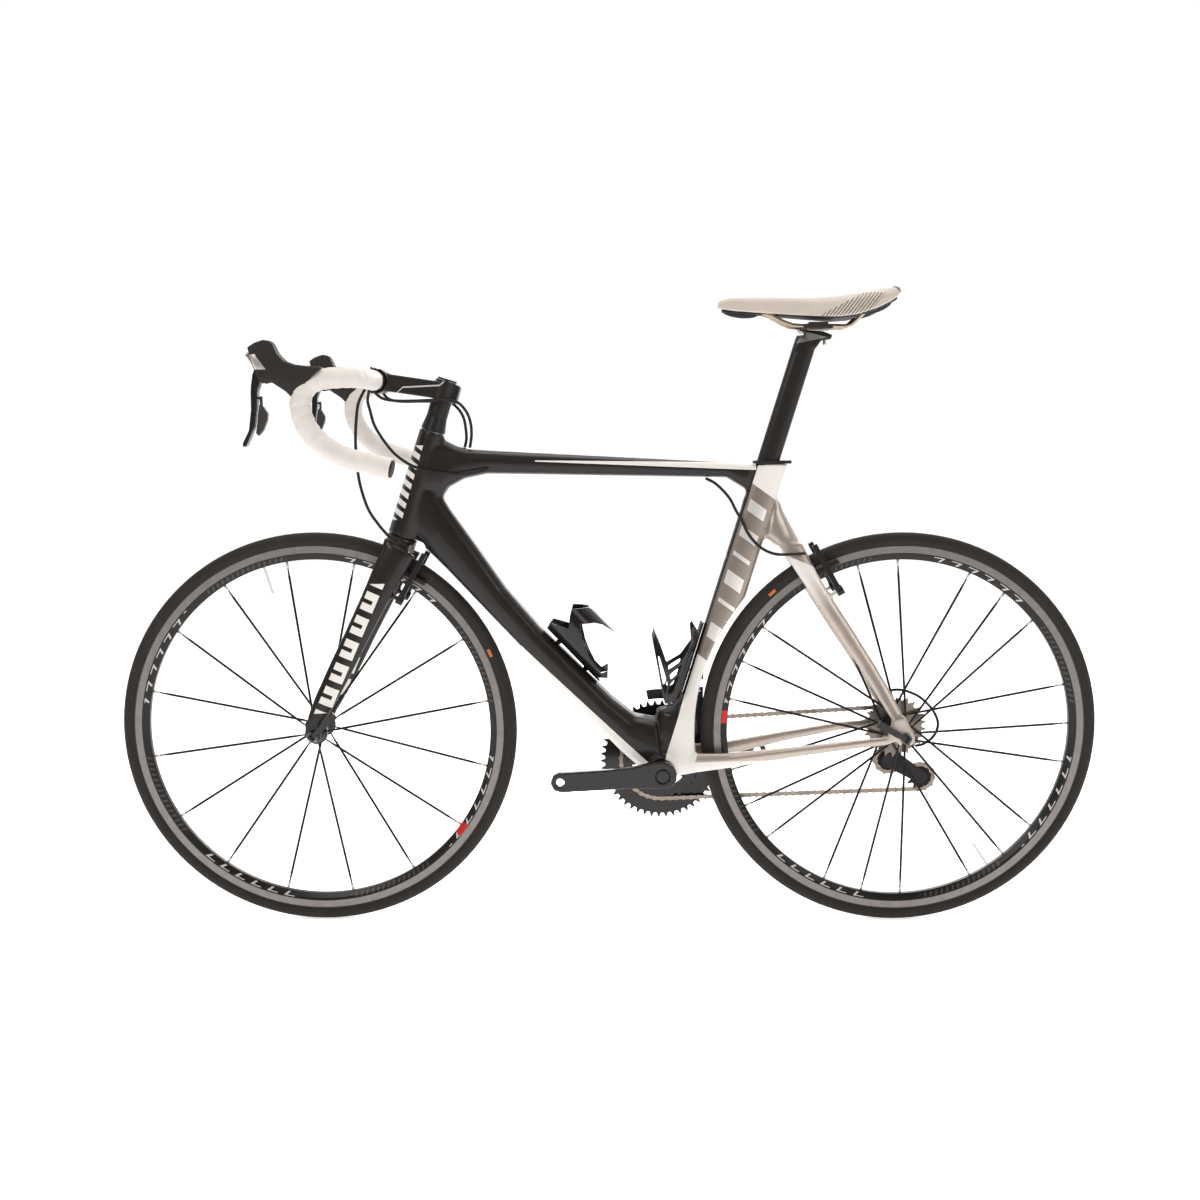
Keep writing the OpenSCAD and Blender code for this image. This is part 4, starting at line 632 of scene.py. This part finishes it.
def spoke_finish(name, hub):
    """Black bladed spoke with a bare nipple at the rim."""
    made = Finish(name, (0.03, 0.028, 0.028), 0.32, 0.5)
    nipple = made.math("GREATER_THAN", made.distance(hub), 0.278)
    made.colour(made.blend(nipple, (0.012, 0.011, 0.011), (0.6, 0.58, 0.56)))
    made.rough(made.spread(made.noise(400), 0.25, 0.4))
    return made


def spoke_set(name, hub, seats, finish, stands_for, body):
    """Flat bladed spokes with round nipples. Each seat is (angle at the rim, angle at the hub, flange
    radius, flange y), in degrees and millimetres. A spoke's ring is an ellipse, wide in the plane of
    the wheel and thin across it."""
    sides = 10
    share = np.array([0, 0.03, 0.07, 0.9, 0.94, 0.957, 0.96, 1.0])
    wide = np.array([1.3, 1.3, 2.0, 2.0, 1.3, 1.3, 2.3, 2.1]) * MM
    thin = np.array([1.3, 1.3, 0.8, 0.8, 1.3, 1.3, 2.3, 2.1]) * MM
    turn = np.linspace(0, 2 * math.pi, sides, endpoint=False)
    points, faces = [], []
    for rim_angle, hub_angle, flange_r, flange_y in seats:
        p, q = math.radians(rim_angle), math.radians(hub_angle)
        low = np.array([hub[0] + flange_r * MM * math.cos(q), flange_y * MM,
                        hub[1] + flange_r * MM * math.sin(q)])
        high = np.array([hub[0] + 0.289 * math.cos(p), 0, hub[1] + 0.289 * math.sin(p)])
        heading = (high - low) / np.linalg.norm(high - low)
        beside = np.cross(heading, (0, 1, 0))
        beside /= np.linalg.norm(beside)
        across = np.cross(heading, beside)
        rings = (low + share[:, None] * (high - low))[:, None, :]
        rings = rings + wide[:, None, None] * np.cos(turn)[None, :, None] * beside
        rings = rings + thin[:, None, None] * np.sin(turn)[None, :, None] * across
        start = len(points) * rings[..., 0].size
        faces += grid_faces(len(share), sides, start=start)
        faces.append([start + k for k in range(sides)][::-1])
        faces.append([start + (len(share) - 1) * sides + k for k in range(sides)])
        points.append(rings)
    piece = outward(mesh_object(name, np.array(points), faces))
    give(piece, finish)
    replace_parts(piece, stands_for)
    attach(piece, body)
    print(name, "spokes", len(points))
    return piece


front_seats = [(9.6 + 22.5 * k, 9.6 + 22.5 * k, 19, 32 if k % 2 else -32) for k in range(16)]
rear_seats = []
for group in range(7):
    middle = 2 + 360 * group / 7
    rear_seats += [(middle, middle, 16, -36), (middle + 13.4, middle + 60, 23, 13.5),
                   (middle - 13.4, middle - 60, 23, 9.5)]
spoke_set("front_spoke_set", FRONT_HUB, front_seats, spoke_finish("front_spoke_finish", FRONT_HUB),
          "front_spokes", "front_wheel")
spoke_set("rear_spoke_set", REAR_HUB, rear_seats, spoke_finish("rear_spoke_finish", REAR_HUB),
          "rear_spokes", "rear_wheel")
give_parts(gloss_black, "front_hub", "rear_hub")

# %% [markdown]
# ## Bar tape
# The tape is a padded strip wound from the bar's end towards the stem, each turn lying over the one
# before. A winding shows as a low step that climbs round the bar, so the radius of the tube is a
# sawtooth of the distance along the path and the angle round it.

# %% Wound tape
BAR = (-0.3781, 0.9162)
BAR_SHAPE = [(0, -47, 0), (0, -62, 0), (0, -138, 0), (-5, -164, 0), (-17, -183, -0.5), (-34, -193, -2),
             (-54, -197, -5), (-69, -199, -13), (-78, -200, -26), (-81, -201, -42), (-78, -202, -61),
             (-68, -203, -81), (-52, -204, -98), (-30, -205, -113), (-4, -206, -123), (26, -207, -130.5),
             (53, -208, -136.5)]
TAPE_R = 15.2 * MM
WRAP = 17 * MM


def wound_tape(name, side):
    """A tube along the bar whose radius rises and drops once for each turn of the tape."""
    points = np.array(BAR_SHAPE, float) * (1, -side, 1) + (BAR[0] / MM, 0, BAR[1] / MM)
    path = smooth_route(points, 12)
    sides = 40
    run = np.concatenate([[0], np.cumsum(np.linalg.norm(np.diff(path, axis=0), axis=1))])
    angle = np.linspace(0, 1, sides, endpoint=False)
    phase = (run[:, None] / WRAP + side * angle[None, :]) % 1.0
    step = np.clip(phase / 0.9, 0, 1) * (1 - np.clip((phase - 0.93) / 0.07, 0, 1))
    radius = TAPE_R + 0.9 * MM * step + 0.25 * MM * np.sin(phase * math.pi)
    radius[:3] += 0.4 * MM
    piece = skin(name, tube_rings(path, radius, sides))
    give(piece, tape_finish)
    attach(piece, "steering")
    return piece


def make_tape_finish():
    """Off-white synthetic tape with tiny pores and a little grime in the creases."""
    made = Finish("tape_white", (0.84, 0.8, 0.76), 0.62, 0, 0, 0.15)
    made.colour(made.blend(made.noise(55, 5), (0.58, 0.54, 0.5), (0.72, 0.68, 0.64)))
    made.rough(made.spread(made.noise(300), 0.52, 0.7))
    made.bump(made.noise(1700, 4), 0.35, 0.0003)
    return made


tape_finish = make_tape_finish()
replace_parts(wound_tape("tape_left", -1), "bar_tape")
wound_tape("tape_right", 1)

# %% [markdown]
# ## Hoods, levers and stem
# Hoods are one rubber moulding each: narrow at the bar, swelling to a knob at the front. The plain
# part has flat sides, so its points are drawn in towards the middle near the top and bottom edges.

# %% Rounded controls
HOOD_HALF = 17 * MM
BAR_HALF = 0.2
STEM_LINE = ((-345, 897), (-335, 906), (-275, 909), (-267, 915))


def hood_shape(points):
    """Narrows each hood towards its top edge and its lower edge, like a worn egg."""
    side = np.sign(points[:, 1])
    across = np.abs(points[:, 1]) - BAR_HALF
    x = points[:, 0] - BAR[0]
    z = points[:, 2] - BAR[1]
    middle = np.interp(x, (-0.155, -0.12, -0.09, -0.046), (0.022, 0.018, 0.0, 0.008))
    tall = np.interp(x, (-0.155, -0.12, -0.09, -0.046), (0.03, 0.034, 0.026, 0.018))
    off = np.clip(np.abs(z - middle) / tall, 0, 1)
    squeeze = 1 - 0.38 * off ** 2
    made = points.copy()
    made[:, 1] = side * (BAR_HALF + across * squeeze)
    return made


def hood_finish():
    """Dull rubber with a bare metal plate let in at the front edge, above the pivot."""
    made = Finish("hood_rubber", (0.017, 0.0135, 0.011), 0.62)
    plate = made.both(made.ahead((-523, 951), (-506, 927)), made.between(made.z, 0.926, 0.948))
    made.colour(made.blend(plate, (0.017, 0.0135, 0.011), (0.55, 0.51, 0.47)))
    made.put(made.shader.inputs["Metallic"], made.math("MULTIPLY", plate, 0.8))
    made.rough(made.spread(plate, 0.62, 0.3))
    made.bump(made.noise(900), 0.25, 0.0002)
    return made


def stem_finish():
    """Satin black casting with one thin silver line along each flank."""
    made = Finish("stem_black", (0.013, 0.011, 0.0095), 0.4, 0.0, 0.3)
    parts = []
    for a, b in zip(STEM_LINE, STEM_LINE[1:]):
        lower, higher = (a[0], a[1] - 1.2), (a[0], a[1] + 1.2)
        parts.append(made.both(made.above(lower, (b[0], b[1] - 1.2)), made.below(higher, (b[0], b[1] + 1.2)),
                               made.behind((a[0], 800), (a[0], 1000)), made.ahead((b[0], 800), (b[0], 1000))))
    made.colour(made.blend(made.either(*parts), (0.013, 0.011, 0.0095), (0.5, 0.48, 0.46)))
    made.rough(made.spread(made.noise(400), 0.32, 0.46))
    return made


def lever_finish():
    """Gloss black blade with a bare metal plate on its head, above the pivot."""
    made = Finish("lever_black", (0.012, 0.012, 0.013), 0.2, 0.0, 0.7)
    plate = made.both(made.above((-560, 934), (-500, 908)), made.math("GREATER_THAN", made.z, BAR[1] + 0.014))
    made.colour(made.blend(plate, (0.012, 0.012, 0.013), (0.6, 0.57, 0.54)))
    made.put(made.shader.inputs["Metallic"], plate)
    made.rough(made.spread(made.noise(250), 0.18, 0.3))
    return made


lever_black = lever_finish()
moulded("hood_covers", ["lever_hoods"], 1.6 * MM, 14, hood_finish(), "steering", hood_shape)
for side_name in ("left", "right"):
    lever, paddle = "brake_lever_" + side_name, "shift_paddle_" + side_name
    moulded("brake_blade_" + side_name, [lever], 1.1 * MM, 7, lever_black, lever)
    moulded("shift_blade_" + side_name, [paddle], 1.0 * MM, 5, paddle_grey, paddle)
moulded("stem_casting", ["stem"], 1.4 * MM, 8, stem_finish(), "steering")
for side_name in ("left", "right"):
    moulded("crank_forging_" + side_name, ["crank_arm_" + side_name], 1.5 * MM, 7, gloss_black,
            "crankset")

# %% [markdown]
# ## Saddle
# The cover is thin microfibre over foam, on a stiff black shell. Its outline is narrow at the nose
# and flares behind the middle, and the back rises a little. It is a loft of rounded cross sections,
# with the edge tucked under.

# %% Saddle cover
saddle_low, saddle_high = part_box("saddle_cover")
SADDLE_MID = saddle_low[0] + 0.159
RAIL_Z = saddle_high[2] - 0.064
SADDLE_LINES = np.array([
    # behind the middle, top, edge, half width
    (-159, 38, 32, 9), (-156, 41.5, 30.5, 13), (-150, 44, 29.5, 16), (-135, 46.5, 27.5, 19),
    (-105, 47, 25.5, 21), (-70, 47, 23, 24), (-35, 46.5, 20.5, 30), (0, 47.5, 18.5, 40),
    (30, 50, 17, 53), (60, 54, 20, 64), (90, 58.5, 29, 69), (110, 62.5, 38, 66), (122, 64, 45, 57),
    (129, 62, 51, 44), (132, 59, 54, 30)], float)


def saddle_rings(lines, around):
    """Rounded cross sections. Above the edge the height follows a power of the sine, which gives a
    flat top and full flanks. Below the edge the wall turns in and up by a few millimetres."""
    stations = np.linspace(0, len(lines) - 1, 4 * len(lines))
    x, top, edge, half = (np.interp(stations, np.arange(len(lines)), lines[:, k]) * MM for k in range(4))
    angle = np.linspace(0, 2 * math.pi, around, endpoint=False)[None, :]
    c, s = np.cos(angle), np.sin(angle)
    wide = np.sign(c) * np.abs(c) ** 0.75
    up = np.where(s > 0, np.abs(s) ** 0.62, -0.16 * np.abs(s) ** 0.5)
    crown = -0.1 * (1 - np.abs(wide)) ** 2 * (half[:, None] > 0.03)
    tall = (top - edge)[:, None]
    rings = np.empty((len(x), around, 3))
    rings[:, :, 0] = SADDLE_MID + x[:, None]
    rings[:, :, 1] = half[:, None] * wide
    rings[:, :, 2] = RAIL_Z + edge[:, None] + tall * (up + np.where(s > 0, crown, 0))
    return rings


def saddle_finish():
    """Cream microfibre with slanted dark dashes on the rear flanks and a dark patch at the back."""
    made = Finish("saddle_cream", (0.78, 0.71, 0.63), 0.55, 0, 0, 0.3)
    across = made.math("ABSOLUTE", made.y)
    flank = made.math("GREATER_THAN", across, 0.022)
    x = made.math("SUBTRACT", made.x, SADDLE_MID)
    z = made.math("SUBTRACT", made.z, RAIL_Z)
    slant = made.math("MULTIPLY_ADD", z, -0.75, x)
    dash = made.math("LESS_THAN", made.math("FRACT", made.math("MULTIPLY", slant, 190)), 0.36)
    zone = made.both(made.math("LESS_THAN", z, made.math("MULTIPLY_ADD", x, 0.52, 0.014)),
                     made.math("LESS_THAN", z, 0.0495), made.between(slant, -0.012, 0.064))
    tail = made.math("GREATER_THAN", made.math("MULTIPLY_ADD", x, 0.82, z), 0.1545)
    cloth = made.blend(made.noise(35, 4), (0.46, 0.4, 0.34), (0.57, 0.505, 0.44))
    cloth = made.blend(made.both(flank, dash, zone), cloth, (0.09, 0.065, 0.055))
    made.colour(made.blend(tail, cloth, (0.03, 0.028, 0.026)))
    made.rough(made.spread(made.noise(250), 0.45, 0.62))
    made.bump(made.noise(1900, 4), 0.2, 0.0003)
    return made


saddle = skin("saddle_pad", saddle_rings(SADDLE_LINES, 56))
round_off = saddle.modifiers.new("round_off", "SUBSURF")
round_off.levels = 1
round_off.render_levels = 1
give(saddle, saddle_finish())
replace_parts(saddle, "saddle_cover")
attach(saddle, "seat")
print("saddle pad points:", len(saddle.data.vertices))
moulded("saddle_shell", ["saddle_base"], 1.4 * MM, 4, matte_plastic, "seat")
moulded("saddle_rail_pair", ["saddle_rails"], 1.0 * MM, 4, rail_bronze, "seat")
moulded("rail_clamp", ["saddle_clamp"], 1.0 * MM, 3, clamp_black, "seat")


def post_finish():
    """Satin black post with a bare forged face on the flank of its head."""
    made = Finish("post_black", BLACK, 0.4, 0.0, 0.3)
    face = made.both(made.below((315, 996), (356, 986)), made.above((306, 976), (356, 986)),
                     made.behind((306, 976), (315, 996)))
    made.colour(made.blend(face, BLACK, (0.26, 0.25, 0.24)))
    made.put(made.shader.inputs["Metallic"], made.math("MULTIPLY", face, 0.8))
    made.rough(made.spread(made.noise(400), 0.32, 0.46))
    return made


moulded("seatpost_skin", ["seatpost"], 1.8 * MM, 8, post_finish(), "seat")

# %% [markdown]
# ## Sockets and clamp bolts
# The rails end in black sockets moulded under the nose and under each rear wing. Two bare bolts
# clamp the rails: one across the head, and one upright behind it that sets the tilt. All are round,
# so one profile turned about a short axis makes each of them.


# %% Turned pieces on the seat
def lathe(name, a, b, widest, power, finish):
    """A round piece from a to b on the seat, in millimetres. Its radius is widest in the middle and
    falls as (1 - t^2)^power towards both ends."""
    t = np.linspace(-0.999, 0.999, 17)
    path = (np.array(a) + (np.array(b) - a) * (t[:, None] + 1) / 2) * MM
    piece = skin(name, tube_rings(path, widest * MM * (1 - t ** 2) ** power, 24))
    give(piece, finish)
    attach(piece, "seat")


mid, base = SADDLE_MID / MM, RAIL_Z / MM
lathe("nose_socket", (mid - 152, 0, base + 26), (mid - 92, 0, base + 20), 9, 0.5, matte_plastic)
for side_name, y in (("left", -41), ("right", 41)):
    lathe("rear_socket_" + side_name, (mid + 70, y, base + 19), (mid + 116, y, base + 37), 8, 0.5,
          matte_plastic)
lathe("head_bolt", (311.5, -28.6, 991), (311.5, 28.6, 991), 4.6, 0.08, polished_steel)
lathe("tilt_bolt", (353, 0, 973), (353, 0, 987), 3, 0.08, polished_steel)

# %% [markdown]
# ## Forged and moulded small parts
# Brake arms, cages and levers come from moulds, so their edges are never sharp. A fine voxel and a
# few rounds of smoothing round them by less than a millimetre.

# %% Brakes, cages, derailleurs and clamps
for place, holder in (("front", "steering"), ("rear", "frame")):
    for side_name in ("left", "right"):
        part_name = place + "_brake_arm_" + side_name
        moulded(part_name + "_casting", [part_name], 0.9 * MM, 4, satin_black, part_name)
moulded("bottle_cage_front", ["front_bottle_cage"], 0.9 * MM, 4, gloss_black, "frame")
moulded("bottle_cage_rear", ["rear_bottle_cage"], 0.9 * MM, 4, gloss_black, "frame")
moulded("seat_clamp_plate", ["seat_clamp"], 0.9 * MM, 3, satin_black, "frame")
moulded("bar_tube", ["handlebar"], 1.6 * MM, 6, satin_black, "steering")
moulded("bar_clamp_face", ["stem_faceplate"], 1.0 * MM, 4, satin_black, "steering")
moulded("rear_mech_body", ["rear_derailleur_body"], 0.9 * MM, 4, gloss_black, "frame")
for piece_name, part_name, voxel, rounds, finish in (
        ("rear_mech_link", "derailleur_links", 0.7, 3, gloss_black),
        ("rear_mech_knuckle", "derailleur_knuckle", 0.9, 4, gloss_black),
        ("front_mech_link", "front_derailleur_link", 0.8, 3, satin_black)):
    moulded(piece_name, [part_name], voxel * MM, rounds, finish, part_name)
give_parts(satin_black, "front_derailleur_body", "front_derailleur_cage", "derailleur_cage",
           "headset_spacers")
give_parts(matte_plastic, "guide_pulley", "tension_pulley")
give_parts(gloss_black, "chainrings", "front_qr_lever", "rear_qr_lever")
give_parts(dark_steel, "front_axle", "rear_axle", "frame_bearings")


# %% Chain and cassette
def drive_finish(name, tone, hub=None):
    """Nickel-plated steel, a little darker where oil and dust gather."""
    made = Finish(name, tone, 0.3, 1.0)
    grime = made.noise(220, 5)
    made.colour(made.blend(grime, tuple(c * 0.45 for c in tone), tone))
    made.rough(made.spread(grime, 0.42, 0.24))
    if hub:
        made.bump(made.math("SINE", made.math("MULTIPLY", made.distance(hub), 12000)), 0.05, 0.0001)
    return made


give_parts(drive_finish("chain_steel", (0.36, 0.3, 0.25)), "chain")
give_parts(drive_finish("cassette_steel", (0.26, 0.22, 0.19), REAR_HUB), "cassette")

# %% [markdown]
# ## Floor
# The floor is one large pale sheet. It belongs to the studio and not to the bicycle.

# %% Floor
floor_mesh = mesh_object("floor", [(-6, -6, 0), (6, -6, 0), (6, 6, 0), (-6, 6, 0)], [(0, 1, 2, 3)], False)
paper = Finish("floor_paper", (0.93, 0.93, 0.93), 0.8)
paper.shader.inputs["Emission Color"].default_value = (1, 1, 1, 1)
paper.shader.inputs["Emission Strength"].default_value = 0.6
give(floor_mesh, paper)
